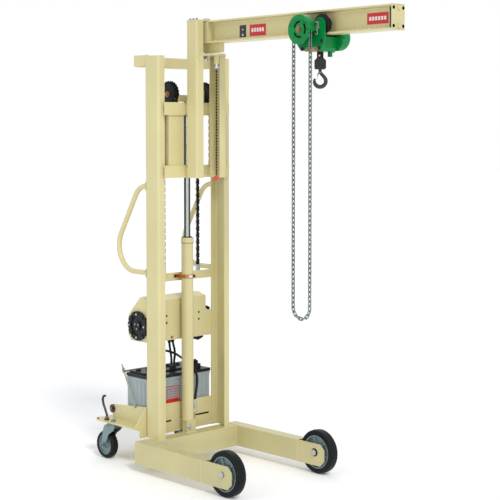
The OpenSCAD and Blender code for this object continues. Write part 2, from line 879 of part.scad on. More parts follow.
// a round bar through points [h, z] of the hook's plane, with a radius at each point
module forged_bar(path, radii, sides) {
  n = len(path);
  centres = [for (p = path) [p[0], 0, p[1]]];
  points = [for (i = [0 : n - 1], k = [0 : sides - 1])
    let (t = along(centres, i), a = [0, 1, 0], b = cross(t, a), w = 360 * k / sides)
    centres[i] + radii[i] * (a * cos(w) + b * sin(w))];
  walls = [for (i = [0 : n - 2], k = [0 : sides - 1])
    [i * sides + k, i * sides + (k + 1) % sides, (i + 1) * sides + (k + 1) % sides, (i + 1) * sides + k]];
  first = [for (k = [sides - 1 : -1 : 0]) k];
  last = [for (k = [0 : sides - 1]) (n - 1) * sides + k];
  polyhedron(points, concat([first], walls, [last]));
}

// latch pin across the neck of the hook, [h, z]
LATCH_PIN = [3, bowl_z + 36];

module latch_pin(r, half) {
  translate([LATCH_PIN[0], -half, LATCH_PIN[1]]) rotate([-90, 0, 0]) cylinder(r = r, h = 2 * half);
}

// bowl, neck and shank; the bar is thickest under the load and thin at the tip
module hook() {
  tip = -205;
  neck = 40;
  steps = 24;
  neck_top = bowl_z + 40;
  bowl = [for (i = [0 : steps]) let (a = tip + (neck - tip) * i / steps)
    [bowl_r * cos(a), bowl_z + bowl_r * sin(a)]];
  bowl_bar = [for (i = [0 : steps]) hook_r - 4 * pow(1 - min(1, i / 8), 2) + 0.8 * sin(180 * i / steps)];
  path = concat(bowl, [[11, bowl_z + 24], [4, bowl_z + 31.5], [0, neck_top], [0, 1812]]);
  radii = concat(bowl_bar, [7.6, 7.2, 7.2, 7.5]);
  in_hook_plane() color(zinc) difference() {
    forged_bar(path, radii, 12);
    latch_pin(2 + play, 12);
  }
}

// sheet latch with two ears on the pin, its end inside the tip
module hook_latch() {
  ear = 8.5;
  t = 1.8;
  low = bowl_z + 7;
  pin = LATCH_PIN[1];
  arm = [[LATCH_PIN[0] + 4, pin - 3], [LATCH_PIN[0] + 3, pin + 4], [LATCH_PIN[0] - 3, pin + 5],
    [-10.5, pin - 3], [-13, pin - 16], [-11, pin - 16], [-5, pin - 5]];
  in_hook_plane() color(zinc) {
    for (y = [-ear - t, ear]) face_plate(y, y + t, arm);
    face_plate(-ear - t, ear + t, [[-10.5, pin - 3], [-14.5, low], [-13, low], [-9, pin - 3]]);
    latch_pin(2, ear + t + 1);
  }
}

// ---- wheels and casters ---------------------------------------------------------
module wheel_at(x, y, z) {
  at_mast() translate([x, y, z]) rotate([0, 90, 0]) rotate_extrude() children();
}

module tyre(side) {
  half = 22;
  inner = wheel_r - 24;
  color(rubber) wheel_at(side * wheel_x, -axle_reach, wheel_r)
    polygon([[inner, -half], [wheel_r - 6, -half], [wheel_r - 1.5, -half + 5], [wheel_r, 0],
      [wheel_r - 1.5, half - 5], [wheel_r - 6, half], [inner, half]]);
}

module hub(side) {
  outer = wheel_r - 24;
  bore = axle_r + play;
  color(grey) {
    wheel_at(side * wheel_x, -axle_reach, wheel_r)
      polygon([[bore, -23], [20, -23], [22, -6], [outer - 7, -6], [outer - 5, -20], [outer, -20], [outer, 20],
        [outer - 5, 20], [outer - 7, 6], [22, 6], [20, 23], [bore, 23]]);
    at_mast() translate([side * wheel_x, -axle_reach, wheel_r]) for (a = [0 : 60 : 300]) rotate([a + 15, 0, 0])
      translate([-15, 18, -3]) cube([30, outer - 21, 6]);
  }
}

module caster_tyre(side) {
  half = 18;
  inner = caster_r - 17;
  color(rubber) wheel_at(side * caster_x, caster_reach, caster_r)
    polygon([[inner, -half], [caster_r - 5, -half], [caster_r, -half + 7], [caster_r, half - 7],
      [caster_r - 5, half], [inner, half]]);
}

module caster_hub(side) {
  outer = caster_r - 17;
  bore = axle_r + play;
  color(grey) wheel_at(side * caster_x, caster_reach, caster_r)
    polygon([[bore, -20], [16, -20], [18, -7], [outer - 6, -7], [outer - 4, -15], [outer, -15], [outer, 15],
      [outer - 4, 15], [outer - 6, 7], [18, 7], [16, 20], [bore, 20]]);
}

// swivelling fork with its kingpin and axle
module fork(side) {
  t = 4;
  crown_z = shelf_z - 8;
  axle_y = caster_reach - swivel_y;
  outline = [[-36, crown_z], [34, crown_z], [44, crown_z - 16], [axle_y + 16, caster_r + 6],
    [axle_y + 12, caster_r - 11], [axle_y - 12, caster_r - 11], [axle_y - 16, caster_r + 8], [6, crown_z - 44],
    [-28, crown_z - 22], [-36, crown_z - 10]];
  at_mast() color(zinc) translate([side * caster_x, swivel_y, 0]) {
    bar_z(axle_r - play, crown_z, shelf_z + shelf_t + 8, 0, 0);
    hex_z(22, shelf_z + shelf_t + 0.5, shelf_z + shelf_t + 9, 0, 0);
    bar_z(36, crown_z - 4, crown_z, 0, 0);
    bar_z(31, crown_z - 1, shelf_z - 4, 0, 0);
    bar_z(26, crown_z - 1, shelf_z - 0.5, 0, 0);
    for (s = [0, 1]) mirror([s, 0, 0]) {
      side_plate(fork_in, fork_in + t, outline);
      bar_x(17, fork_in + 0.2, fork_in + t + 1, axle_y, caster_r);
      hex_x(20, fork_in + t, fork_in + t + 10, axle_y, caster_r);
    }
    bar_x(axle_r, -fork_in - t - 8, fork_in + t + 8, axle_y, caster_r);
  }
}

legs();
front_axles();
cross_beam();
mast_columns();
top_bow();
mid_bar();
battery_tray();
cylinder_tube();
cylinder_clamps();
push_handles();
power_cover();
pump_motor();
battery_case();
battery_lid();
battery_clamp();
left_battery_cable();
middle_battery_cable();
right_battery_cable();
hydraulic_hose();
chain_anchors();
rear_chains();
brake_pedals();
cross_plates();
carriage_sides();
carriage_rollers();
jib_posts();
hinge_pin();
front_chains();
lock_plunger();
pull_chain();
pull_knob();
piston_rod();
crosshead();
chain_arcs();
chain_sheaves();
jib_beam();
jib_root();
trolley_plates();
hoist_body();
gear_case();
wheel_cover();
hand_chain();
hand_wheel();
track_roller(-1, -1);  // left_front_roller
track_roller(-1, 1);  // left_rear_roller
track_roller(1, -1);  // right_front_roller
track_roller(1, 1);  // right_rear_roller
hook_block();
hook();
hook_latch();
tyre(-1);  // left_tyre
hub(-1);  // left_hub
tyre(1);  // right_tyre
hub(1);  // right_hub
fork(-1);  // left_fork
caster_tyre(-1);  // left_caster_tyre
caster_hub(-1);  // left_caster_hub
fork(1);  // right_fork
caster_tyre(1);  // right_caster_tyre
caster_hub(1);  // right_caster_hub
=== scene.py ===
"""A mobile mast lifter with a swinging jib: the finish of its parts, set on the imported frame."""

import math

import bmesh
import bpy
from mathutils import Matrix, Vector


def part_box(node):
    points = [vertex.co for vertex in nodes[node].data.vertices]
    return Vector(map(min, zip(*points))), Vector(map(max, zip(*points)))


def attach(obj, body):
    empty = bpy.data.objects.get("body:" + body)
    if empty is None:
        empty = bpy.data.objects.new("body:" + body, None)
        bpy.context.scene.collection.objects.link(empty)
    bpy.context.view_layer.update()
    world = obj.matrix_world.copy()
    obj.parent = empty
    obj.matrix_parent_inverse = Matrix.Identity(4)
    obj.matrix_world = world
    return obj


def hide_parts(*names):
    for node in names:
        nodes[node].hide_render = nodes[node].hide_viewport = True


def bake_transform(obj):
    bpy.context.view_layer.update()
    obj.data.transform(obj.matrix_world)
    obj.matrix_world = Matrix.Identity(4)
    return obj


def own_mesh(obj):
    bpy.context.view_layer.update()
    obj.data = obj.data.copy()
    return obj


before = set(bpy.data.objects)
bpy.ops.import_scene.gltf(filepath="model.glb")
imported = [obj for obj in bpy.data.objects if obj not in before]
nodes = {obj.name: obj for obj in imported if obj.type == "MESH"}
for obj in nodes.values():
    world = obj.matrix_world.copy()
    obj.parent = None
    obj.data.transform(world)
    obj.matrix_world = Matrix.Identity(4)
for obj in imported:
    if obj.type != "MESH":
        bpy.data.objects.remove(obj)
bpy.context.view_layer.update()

# ---- Stage, lamps and camera -----------------------------------------
# A plain white studio: the world is white to the eye, to mirrors and through glass, and the
# pale floor keeps a soft shadow. Broad suns light both faces of the mast at a plain level.
scene = bpy.context.scene
scene.view_settings.view_transform = "Standard"
white = (1, 1, 1, 1)


def step(tree, kind, sockets=None, **settings):
    """Adds a node: sockets gives its inputs a value, link or node, and settings its properties."""
    node = tree.nodes.new(kind)
    for key, value in settings.items():
        setattr(node, key, value)
    for key, value in (sockets or {}).items():
        if isinstance(value, bpy.types.Node):
            value = value.outputs[0]
        if hasattr(value, "is_output"):
            tree.links.new(value, node.inputs[key])
        else:
            node.inputs[key].default_value = value
    return node


def maths(tree, operation, *values, **settings):
    """A sum on one or two values, links or nodes."""
    return step(tree, "ShaderNodeMath", dict(enumerate(values)), operation=operation, **settings)


def placed(name, data):
    """A new object in the scene, at the origin."""
    obj = bpy.data.objects.new(name, data)
    scene.collection.objects.link(obj)
    return obj


world = bpy.data.worlds.new("studio")
scene.world = world
world.use_nodes = True
sky = world.node_tree
sky_glow = sky.nodes["Background"]
sky_glow.inputs["Color"].default_value = (0.95, 0.97, 1.0, 1)
sky_glow.inputs["Strength"].default_value = 0.60
seen_white = step(sky, "ShaderNodeBackground", {"Color": white})
ray = step(sky, "ShaderNodeLightPath").outputs
seen_ray = maths(sky, "MAXIMUM", ray["Is Camera Ray"], ray["Is Glossy Ray"])
any_view = maths(sky, "MAXIMUM", seen_ray, ray["Is Transmission Ray"])
sky_mix = step(sky, "ShaderNodeMixShader", {0: any_view, 1: sky_glow, 2: seen_white})
sky.links.new(sky_mix.outputs[0], sky.nodes["World Output"].inputs["Surface"])

floor_half = 40.0
floor_mesh = bpy.data.meshes.new("studio_floor")
floor_corners = [(x * floor_half, y * floor_half, 0) for x, y in ((-1, -1), (1, -1), (1, 1), (-1, 1))]
floor_mesh.from_pydata(floor_corners, [], [(0, 1, 2, 3)])
floor = placed("studio_floor", floor_mesh)
floor_finish = bpy.data.materials.new("studio_floor")
floor_finish.use_nodes = True
floor_sockets = floor_finish.node_tree.nodes["Principled BSDF"].inputs
for socket, value in (("Base Color", (0.97, 0.97, 0.97, 1)), ("Roughness", 1.0), ("Specular IOR Level", 0.0),
                      ("Emission Color", white), ("Emission Strength", 0.10)):
    floor_sockets[socket].default_value = value
floor_mesh.materials.append(floor_finish)


def sun(name, azimuth, elevation, strength, spread):
    """A broad sun that shines from azimuth and elevation, in degrees."""
    lamp = bpy.data.lights.new(name, "SUN")
    lamp.energy = strength
    lamp.angle = math.radians(spread)
    a, e = math.radians(azimuth), math.radians(elevation)
    towards = Vector((-math.sin(a) * math.cos(e), math.cos(a) * math.cos(e), -math.sin(e)))
    placed(name, lamp).rotation_euler = towards.to_track_quat("-Z", "Y").to_euler()


sun("key", -20, 44, 1.28, 12)
sun("left_fill", -98, 30, 0.28, 30)
sun("back_rim", 140, 50, 0.35, 40)
sun("edge_light", -46, 5, 0.30, 6)

camera_data = bpy.data.cameras.new("camera")
camera_data.lens = 93.688
camera_data.sensor_width = 36
camera_data.shift_y = -0.08
camera = placed("camera", camera_data)
scene.camera = camera
looks_down, heading = 3.353, -43.569
camera.location = (-3.9770, -4.1606, 1.5432)
camera.rotation_euler = (math.radians(90 - looks_down), 0, math.radians(heading))

# ---- Base: box legs and cross beam -----------------------------------
# Two welded box legs and the beam between them, in cream enamel sprayed over mill steel.
# The enamel has a faint orange peel and takes grey dust low down; its lighter edge colour is partly paint
# rubbed thin and partly a painted highlight.


def new_group(name, inputs, outputs, kind="ShaderNodeTree", carries="NodeSocketFloat"):
    """An empty node tree: inputs gives each socket's default or its type, outputs the names."""
    tree = bpy.data.node_groups.new(name, kind)
    for socket, value in inputs.items():
        if isinstance(value, str):
            tree.interface.new_socket(socket, in_out="INPUT", socket_type=value)
            continue
        number = "NodeSocketInt" if isinstance(value, int) else "NodeSocketFloat"
        tree.interface.new_socket(socket, in_out="INPUT", socket_type=number).default_value = value
    for socket in outputs:
        tree.interface.new_socket(socket, in_out="OUTPUT", socket_type=carries)
    return tree, tree.nodes.new("NodeGroupInput").outputs, tree.nodes.new("NodeGroupOutput").inputs


def noise(tree, vector, scale, detail, rough=0.5):
    """Soft noise over the surface, from 0 to 1."""
    return step(tree, "ShaderNodeTexNoise", {
        "Vector": vector, "Scale": scale, "Detail": detail, "Roughness": rough})


def ramp(tree, value, low, high):
    """value, run from 0 at low to 1 at high, with soft ends."""
    return step(tree, "ShaderNodeMapRange", {"Value": value, "From Min": low, "From Max": high},
                interpolation_type="SMOOTHSTEP")


def part_of(tree, first, second):
    """The product of two masks, held between 0 and 1."""
    return maths(tree, "MULTIPLY", first, second, use_clamp=True)


def blend_colour(tree, share, first, second):
    """The colour that lies between first and second by share."""
    return step(tree, "ShaderNodeMix", {0: share, 6: first, 7: second}, data_type="RGBA").outputs[2]


# edge mask: where a rounded normal leaves the true one, the surface is an edge
edge_group, edge_in, edge_out = new_group("edge_mask", {"Radius": 0.003, "Break Up": 60.0}, ["Mask"])
rounded = step(edge_group, "ShaderNodeBevel", {"Radius": edge_in["Radius"]}, samples=4)
true_normal = step(edge_group, "ShaderNodeNewGeometry").outputs["Normal"]
agree = step(edge_group, "ShaderNodeVectorMath", {0: rounded, 1: true_normal}, operation="DOT_PRODUCT")
edge_spot = step(edge_group, "ShaderNodeTexCoord").outputs["Object"]
bent = maths(edge_group, "SUBTRACT", 1.0, agree.outputs["Value"])
strong = ramp(edge_group, bent, 0.02, 0.25)
broken = ramp(edge_group, noise(edge_group, edge_spot, edge_in["Break Up"], 6.0, 0.65), 0.48, 0.66)
edge_group.links.new(part_of(edge_group, strong, broken).outputs[0], edge_out["Mask"])

# dust: settles on what faces up, and low on the machine, in soft patches
dust_group, dust_in, dust_out = new_group("settled_dust", {"Amount": 0.4, "Up To": 0.35}, ["Mask"])
facing = step(dust_group, "ShaderNodeNewGeometry").outputs["Normal"]
up = step(dust_group, "ShaderNodeSeparateXYZ", {0: facing}).outputs["Z"]
dust_spot = step(dust_group, "ShaderNodeTexCoord").outputs["Object"]
height = step(dust_group, "ShaderNodeSeparateXYZ", {0: dust_spot}).outputs["Z"]
low_down = step(dust_group, "ShaderNodeMapRange", {
    "Value": height, "From Min": 0.0, "From Max": dust_in["Up To"], "To Min": 1.0, "To Max": 0.0})
patches = ramp(dust_group, noise(dust_group, dust_spot, 7.0, 5.0, 0.6), 0.35, 0.75)
upward = part_of(dust_group, ramp(dust_group, up, 0.3, 1.0), 0.6)
reach = maths(dust_group, "MAXIMUM", upward, low_down)
dusty = part_of(dust_group, part_of(dust_group, reach, patches), dust_in["Amount"])
dust_group.links.new(dusty.outputs[0], dust_out["Mask"])

# fine surface: a small bump height and a slow change of tone
grain_group, grain_in, grain_out = new_group("fine_grain", {"Peel": 400.0, "Tone": 3.0}, ["Height", "Tone"])
grain_spot = step(grain_group, "ShaderNodeTexCoord").outputs["Object"]
peel_noise = noise(grain_group, grain_spot, grain_in["Peel"], 2.0)
tone_noise = noise(grain_group, grain_spot, grain_in["Tone"], 5.0, 0.55)
grain_group.links.new(peel_noise.outputs[0], grain_out["Height"])
grain_group.links.new(tone_noise.outputs[0], grain_out["Tone"])

dust_colour = (0.36, 0.34, 0.30, 1)
# the second number breaks up the lighter edges, which are partly wear and partly a painted highlight
tone_scale, edge_wear_and_highlight_scale = 2.6, 70.0
gloss_swing, dust_roughness, peel_height = 0.16, 0.9, 0.0006


def coated(name, colour, edge_colour, roughness=0.38, peel=380.0, peel_depth=0.12, edge_radius=0.0025,
           edge_amount=0.6, dust=0.35, dust_up_to=0.35, tone=0.10, metallic=0.0, coat=0.0, shine=0.5):
    """A sprayed, moulded or plated finish: tone, lighter edges that are partly wear and partly a painted
    highlight, dust and a fine bump.
    """
    material = bpy.data.materials.new(name)
    material.use_nodes = True
    tree = material.node_tree
    surface = tree.nodes["Principled BSDF"].inputs
    grain = step(tree, "ShaderNodeGroup", {"Peel": peel, "Tone": tone_scale}, node_tree=grain_group)
    edge = step(tree, "ShaderNodeGroup", {"Radius": edge_radius, "Break Up": edge_wear_and_highlight_scale},
                node_tree=edge_group)
    dusting = step(tree, "ShaderNodeGroup", {"Amount": dust, "Up To": dust_up_to}, node_tree=dust_group)
    bump = step(tree, "ShaderNodeBump", {
        "Strength": peel_depth, "Distance": peel_height, "Height": grain.outputs["Height"]})
    darker = tuple(c * (1 - tone) for c in colour) + (1,)
    lighter = tuple(min(1.0, c * (1 + tone)) for c in colour) + (1,)
    base = blend_colour(tree, grain.outputs["Tone"], darker, lighter)
    base = blend_colour(tree, part_of(tree, edge, edge_amount), base, (*edge_colour, 1))
    base = blend_colour(tree, dusting, base, dust_colour)
    gloss = part_of(tree, grain.outputs["Tone"], gloss_swing)
    gloss = maths(tree, "ADD", gloss, roughness - gloss_swing / 2, use_clamp=True)
    gloss = maths(tree, "MAXIMUM", gloss, part_of(tree, dusting, dust_roughness))
    tree.links.new(base, surface["Base Color"])
    tree.links.new(gloss.outputs[0], surface["Roughness"])
    tree.links.new(bump.outputs[0], surface["Normal"])
    surface["Metallic"].default_value = metallic
    surface["Coat Weight"].default_value = coat
    surface["Specular IOR Level"].default_value = shine
    return material


def finish(material, *names):
    """Gives CAD nodes their material."""
    for name in names:
        nodes[name].data.materials.clear()
        nodes[name].data.materials.append(material)


# its near-white edge colour, at a high share, paints a highlight along every corner as well as the paint
# rubbed thin there
cream_enamel = coated(
    "cream_enamel", (0.650, 0.582, 0.305), (0.92, 0.89, 0.70), roughness=0.30, peel=300.0,
    peel_depth=0.22, edge_radius=0.0035, edge_amount=0.85, dust=0.18, tone=0.13, shine=0.4)
# a darker copy of the same cream enamel for the legs and the cross beam: painted shade
leg_enamel = coated(
    "leg_enamel", (0.580, 0.525, 0.268), (0.90, 0.87, 0.68), roughness=0.32, peel=300.0,
    peel_depth=0.25, edge_radius=0.0035, edge_amount=0.8, dust=0.24, tone=0.15, shine=0.4)
finish(leg_enamel, "legs", "cross_beam")
zinc_plate = coated(
    "zinc_plate", (0.50, 0.54, 0.55), (0.74, 0.75, 0.74), roughness=0.33, peel=160.0,
    peel_depth=0.10, dust=0.25, dust_up_to=0.20, tone=0.16, metallic=0.85)
finish(zinc_plate, "front_axles")

mast_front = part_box("mast_columns")[0][1]


def mast_point(x, y, z):
    """A point given in millimetres from the mast's front face, in metres in the frame."""
    return Vector((x / 1000, mast_front + y / 1000, z / 1000))


def new_shape(name, inputs):
    """An empty geometry tree with named sizes between a Geometry socket and a Finish socket."""
    sockets = {"Geometry": "NodeSocketGeometry", **inputs, "Finish": "NodeSocketMaterial"}
    return new_group(name, sockets, ["Geometry"], "GeometryNodeTree", "NodeSocketGeometry")


def close_shape(tree, made, inputs, outputs, smooth=True):
    """Ends a geometry tree: smooth faces if asked, instances made real, and the finish set."""
    if smooth:
        made = step(tree, "GeometryNodeSetShadeSmooth", {"Geometry": made})
    made = step(tree, "GeometryNodeRealizeInstances", {"Geometry": made})
    made = step(tree, "GeometryNodeSetMaterial", {"Geometry": made, "Material": inputs["Finish"]})
    tree.links.new(made.outputs[0], outputs["Geometry"])


def swept(tree, line, sides, radius, capped=True):
    """A bar of a number of sides along a curve, with closed ends if capped."""
    profile = step(tree, "GeometryNodeCurvePrimitiveCircle", {"Resolution": sides, "Radius": radius})
    return step(tree, "GeometryNodeCurveToMesh", {
        "Curve": line, "Profile Curve": profile, "Fill Caps": capped})


def grown(name, mesh, shape, body, **values):
    """Runs a geometry tree on points or edges and keeps a plain piece, on a body if named."""
    seed = placed(name + "_seed", mesh)
    modifier = seed.modifiers.new("grow", "NODES")
    modifier.node_group = shape
    for item in shape.interface.items_tree:
        key = item.name.replace(" ", "_")
        if item.item_type == "SOCKET" and item.in_out == "INPUT" and key in values:
            modifier[item.identifier] = values[key]
    seed.update_tag()
    result = bpy.data.meshes.new_from_object(seed.evaluated_get(bpy.context.evaluated_depsgraph_get()))
    seed.modifiers.remove(modifier)
    bpy.data.objects.remove(seed)
    result.name = name
    piece = placed(name, result)
    if body:
        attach(piece, body)
    return piece


# a weld: a rippled bead along each run of points
weld_shape, weld_in, weld_out = new_shape("weld_bead", {"Bead Radius": 0.002, "Ripple": 0.3, "Seed": 4})
weld_line = step(weld_shape, "GeometryNodeMeshToCurve", {"Mesh": weld_in["Geometry"]})
weld_pitch = maths(weld_shape, "MULTIPLY", weld_in["Bead Radius"], 1.3)
weld_steps = step(weld_shape, "GeometryNodeResampleCurve", {"Curve": weld_line, "Length": weld_pitch},
                  mode="LENGTH")
weld_low = maths(weld_shape, "SUBTRACT", 1.0, weld_in["Ripple"])
weld_swell = step(weld_shape, "FunctionNodeRandomValue", {2: weld_low, 3: 1.0, "Seed": weld_in["Seed"]},
                  data_type="FLOAT")
weld_rings = step(weld_shape, "GeometryNodeSetCurveRadius", {
    "Curve": weld_steps, "Radius": weld_swell.outputs[1]})
weld_bead = swept(weld_shape, weld_rings, 8, weld_in["Bead Radius"])
close_shape(weld_shape, weld_bead, weld_in, weld_out)


def runs_of(name, runs):
    """A mesh of edges alone: one open line for each run of points in millimetres from the mast."""
    points, edges = [], []
    for run in runs:
        first = len(points)
        points.extend(mast_point(*p) for p in run)
        edges.extend((first + i, first + i + 1) for i in range(len(run) - 1))
    mesh = bpy.data.meshes.new(name)
    mesh.from_pydata(points, edges, [])
    return mesh


def weld(name, body, runs, radius=2.2):
    """Enamelled weld beads along runs of points."""
    grown(name, runs_of(name + "_runs", runs), weld_shape, body, Bead_Radius=radius / 1000,
          Finish=cream_enamel)


def both_ways(runs):
    """The runs and their mirror images across the machine's middle."""
    return runs + [[(-x, y, z) for x, y, z in run] for run in runs]


weld("base_welds", "root", both_ways([
    [(-254, -9, 43), (-254, -9, 138)], [(-254, -9, 140), (-254, 64, 140)], [(-254, 64, 43), (-254, 64, 138)],
    [(-222, 63, 140), (-222, 0, 140), (-182, 0, 140), (-182, 63, 140)],
    [(-254, -415, 43), (-254, -415, 138)], [(-308, -415, 43), (-308, -415, 138)],
    [(-314.2, -390, 42), (-314.2, -390, 138)],
]) + [[(-27, 31, 140.5), (27, 31, 140.5), (27, 63, 140.5)], [(-27, 31, 140.5), (-27, 63, 140.5)]])

# bolt heads: hexagon or round, with a washer, on points that carry the way they face; the
# crown, the washer and the bevel are shares of the head's width and height
bolt_shape, bolt_in, bolt_out = new_shape("bolt_heads", {
    "Width": 0.010, "Height": 0.005, "Sides": 6, "Washer": 0.0012, "Seed": 7})
bolt_half, bolt_crown, bolt_ring = (
    maths(bolt_shape, "MULTIPLY", bolt_in["Width"], share) for share in (0.5, 0.41, 0.74))
bolt_bevel, bolt_shank = (maths(bolt_shape, "MULTIPLY", bolt_in["Height"], share) for share in (0.22, 0.78))
bolt_mid = maths(bolt_shape, "MULTIPLY", bolt_shank, 0.5)
bolt_lift = maths(bolt_shape, "ADD", bolt_mid, bolt_in["Washer"])
bolt_top = maths(bolt_shape, "ADD", bolt_shank, bolt_in["Washer"])
bolt_flat = maths(bolt_shape, "MULTIPLY", bolt_in["Washer"], 0.5)
bolt_body = step(bolt_shape, "GeometryNodeMeshCylinder", {
    "Vertices": bolt_in["Sides"], "Radius": bolt_half, "Depth": bolt_shank})
bolt_cone = step(bolt_shape, "GeometryNodeMeshCone", {
    "Vertices": bolt_in["Sides"], "Radius Top": bolt_crown, "Radius Bottom": bolt_half, "Depth": bolt_bevel})
bolt_washer = step(bolt_shape, "GeometryNodeMeshCylinder", {
    "Vertices": 20, "Radius": bolt_ring, "Depth": bolt_in["Washer"]})
bolt_parts = step(bolt_shape, "GeometryNodeJoinGeometry")
for part, lift in ((bolt_washer, bolt_flat), (bolt_cone, bolt_top), (bolt_body, bolt_lift)):
    lift_by = step(bolt_shape, "ShaderNodeCombineXYZ", {"Z": lift})
    lifted = step(bolt_shape, "GeometryNodeTransform", {"Geometry": part, "Translation": lift_by})
    bolt_shape.links.new(lifted.outputs[0], bolt_parts.inputs[0])
bolt_faces = step(bolt_shape, "GeometryNodeInputNamedAttribute", {"Name": "faces_to"},
                  data_type="FLOAT_VECTOR")
bolt_aim = step(bolt_shape, "FunctionNodeAlignRotationToVector", {"Vector": bolt_faces}, axis="Z")
bolt_turn = step(bolt_shape, "FunctionNodeRandomValue", {3: 1.05, "Seed": bolt_in["Seed"]}, data_type="FLOAT")
bolt_spin = step(bolt_shape, "FunctionNodeAxisAngleToRotation", {
    "Axis": (0, 0, 1), "Angle": bolt_turn.outputs[1]})
bolt_pose = step(bolt_shape, "FunctionNodeRotateRotation", {0: bolt_aim, 1: bolt_spin},
                 rotation_space="LOCAL")
bolt_points = step(bolt_shape, "GeometryNodeInstanceOnPoints", {
    "Points": bolt_in["Geometry"], "Instance": bolt_parts, "Rotation": bolt_pose})
close_shape(bolt_shape, bolt_points, bolt_in, bolt_out, smooth=False)


def bolts(name, body, material, places, width, height, sides=6, washer=1.2):
    """Bolt heads; places are (point, way it faces), and sizes are in millimetres."""
    mesh = bpy.data.meshes.new(name + "_points")
    mesh.from_pydata([mast_point(*p) for p, way in places], [], [])
    faces_to = mesh.attributes.new("faces_to", "FLOAT_VECTOR", "POINT")
    faces_to.data.foreach_set("vector", [c for p, way in places for c in way])
    return grown(name, mesh, bolt_shape, body, Width=width / 1000, Height=height / 1000, Sides=sides,
                 Washer=washer / 1000, Finish=material)


def pair(point, way):
    """A bolt's places on the left and the right, from the right one."""
    (x, y, z), (a, b, c) = point, way
    return [((s * x, y, z), (s * a, b, c)) for s in (-1, 1)]


dark_bolt = coated(
    "dark_bolt", (0.05, 0.048, 0.045), (0.30, 0.29, 0.27), roughness=0.38, peel=300.0,
    edge_radius=0.0008, edge_amount=0.6, dust=0.1, tone=0.2, metallic=0.7)
axle_y, axle_z = -527, 100
bolts("foot_bolt", "root", zinc_plate, [((-13, 31, 168), (0, -1, 0))], 17, 9, sides=20)
bolts("axle_rings", "root", dark_bolt,
      pair((311, axle_y, axle_z), (1, 0, 0)) + pair((255, axle_y, axle_z), (-1, 0, 0)), 26, 5, sides=28)


def add_turned(shape, profile, centre, axis, steps=32, start=0.0, sweep=360.0):
    """Adds a turned shape: profile is a loop of (radius, distance along the axis), in millimetres."""
    origin = mast_point(*centre)
    along = Vector(axis).normalized()
    side = along.orthogonal().normalized() if abs(along.z) < 0.9 else Vector((1, 0, 0))
    if abs(along.x) > 0.9:
        side = Vector((0, 1, 0))
    other = along.cross(side)
    full = sweep >= 359.9
    count = steps if full else steps + 1
    rings = []
    for i in range(count):
        a = math.radians(start + sweep * i / steps)
        out = side * math.cos(a) + other * math.sin(a)
        rings.append([shape.verts.new(origin + out * (r / 1000) + along * (d / 1000)) for r, d in profile])
    for i in range(count if full else count - 1):
        first, second = rings[i], rings[(i + 1) % count]
        for j in range(len(profile)):
            k = (j + 1) % len(profile)
            shape.faces.new((first[j], first[k], second[k], second[j]))
    if not full:
        shape.faces.new(rings[0])
        shape.faces.new(rings[-1][::-1])
    return shape


def band(inner, outer, first, last):
    """The profile of a plain ring, from its radii and where it starts and ends along the axis."""
    return [(inner, first), (outer, first), (outer, last), (inner, last)]


def boxes(*corners):
    """A shape of boxes, each between two corners in millimetres from the mast."""
    shape = bmesh.new()
    for low, high in corners:
        a, b = mast_point(*low), mast_point(*high)
        for vertex in bmesh.ops.create_cube(shape, size=1.0)["verts"]:
            vertex.co = Vector([a[i] + (b[i] - a[i]) * (vertex.co[i] + 0.5) for i in range(3)])
    return shape


def add_prism(shape, outline, way):
    """Adds a flat plate: outline is a loop of points in millimetres, way the thickness as a vector."""
    near = [shape.verts.new(mast_point(*p)) for p in outline]
    far = [shape.verts.new(corner.co + Vector(way) / 1000) for corner in near]
    shape.faces.new(near)
    shape.faces.new(far[::-1])
    for i in range(len(near)):
        shape.faces.new((near[i - 1], far[i - 1], far[i], near[i]))
    return shape


def made_piece(name, shape, material, body, bevel=0.5, segments=2):
    """Turns a shape into a piece of a body: normals outward, small round edges, smooth between."""
    turn = math.radians(35)
    bmesh.ops.recalc_face_normals(shape, faces=shape.faces)
    if bevel:
        sharp = [e for e in shape.edges if len(e.link_faces) == 2 and e.calc_face_angle(0) > turn]
        bmesh.ops.bevel(shape, geom=sharp, offset=bevel / 1000, segments=segments, affect="EDGES",
                        profile=0.5, clamp_overlap=True)
    mesh = bpy.data.meshes.new(name)
    shape.to_mesh(mesh)
    shape.free()
    mesh.materials.append(material)
    mesh.shade_smooth()
    mesh.set_sharp_from_angle(angle=turn)
    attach(placed(name, mesh), body)


# ---- Front wheels ----------------------------------------------------
# Solid black rubber tyres bonded on grey cast iron centres that turn on plain axles. Two raised
# mould lines run round each side wall, and a grease nipple stands on each hub.
tyre_rubber = coated(
    "tyre_rubber", (0.007, 0.009, 0.010), (0.03, 0.032, 0.032), roughness=0.46, peel=220.0,
    peel_depth=0.25, dust=0.03, dust_up_to=0.20, tone=0.2, shine=0.12)
cast_grey = coated(
    "cast_grey", (0.18, 0.25, 0.26), (0.56, 0.62, 0.61), roughness=0.38, peel=120.0,
    peel_depth=0.3, edge_radius=0.003, edge_amount=0.6, dust=0.14, dust_up_to=0.20, tone=0.25)
wheel_x = 284
both_sides = (("left", -1), ("right", 1))
for side, s in both_sides:
    finish(tyre_rubber, f"{side}_tyre")
    finish(cast_grey, f"{side}_hub")
    rings = bmesh.new()
    for face in (-1, 1):
        for ring in (band(89, 91, face * 21.4, face * 22.6), band(78, 79.5, face * 21.2, face * 22.8)):
            add_turned(rings, ring, (s * wheel_x, axle_y, axle_z), (1, 0, 0), 64)
    made_piece(f"{side}_tyre_rings", rings, tyre_rubber, f"{side}_wheel", bevel=0.3, segments=1)
    bolts(f"{side}_hub_nipple", f"{side}_wheel", zinc_plate,
          [((s * wheel_x - 8, axle_y, axle_z + 21), (0, 0, 1))], 6, 6, sides=8)

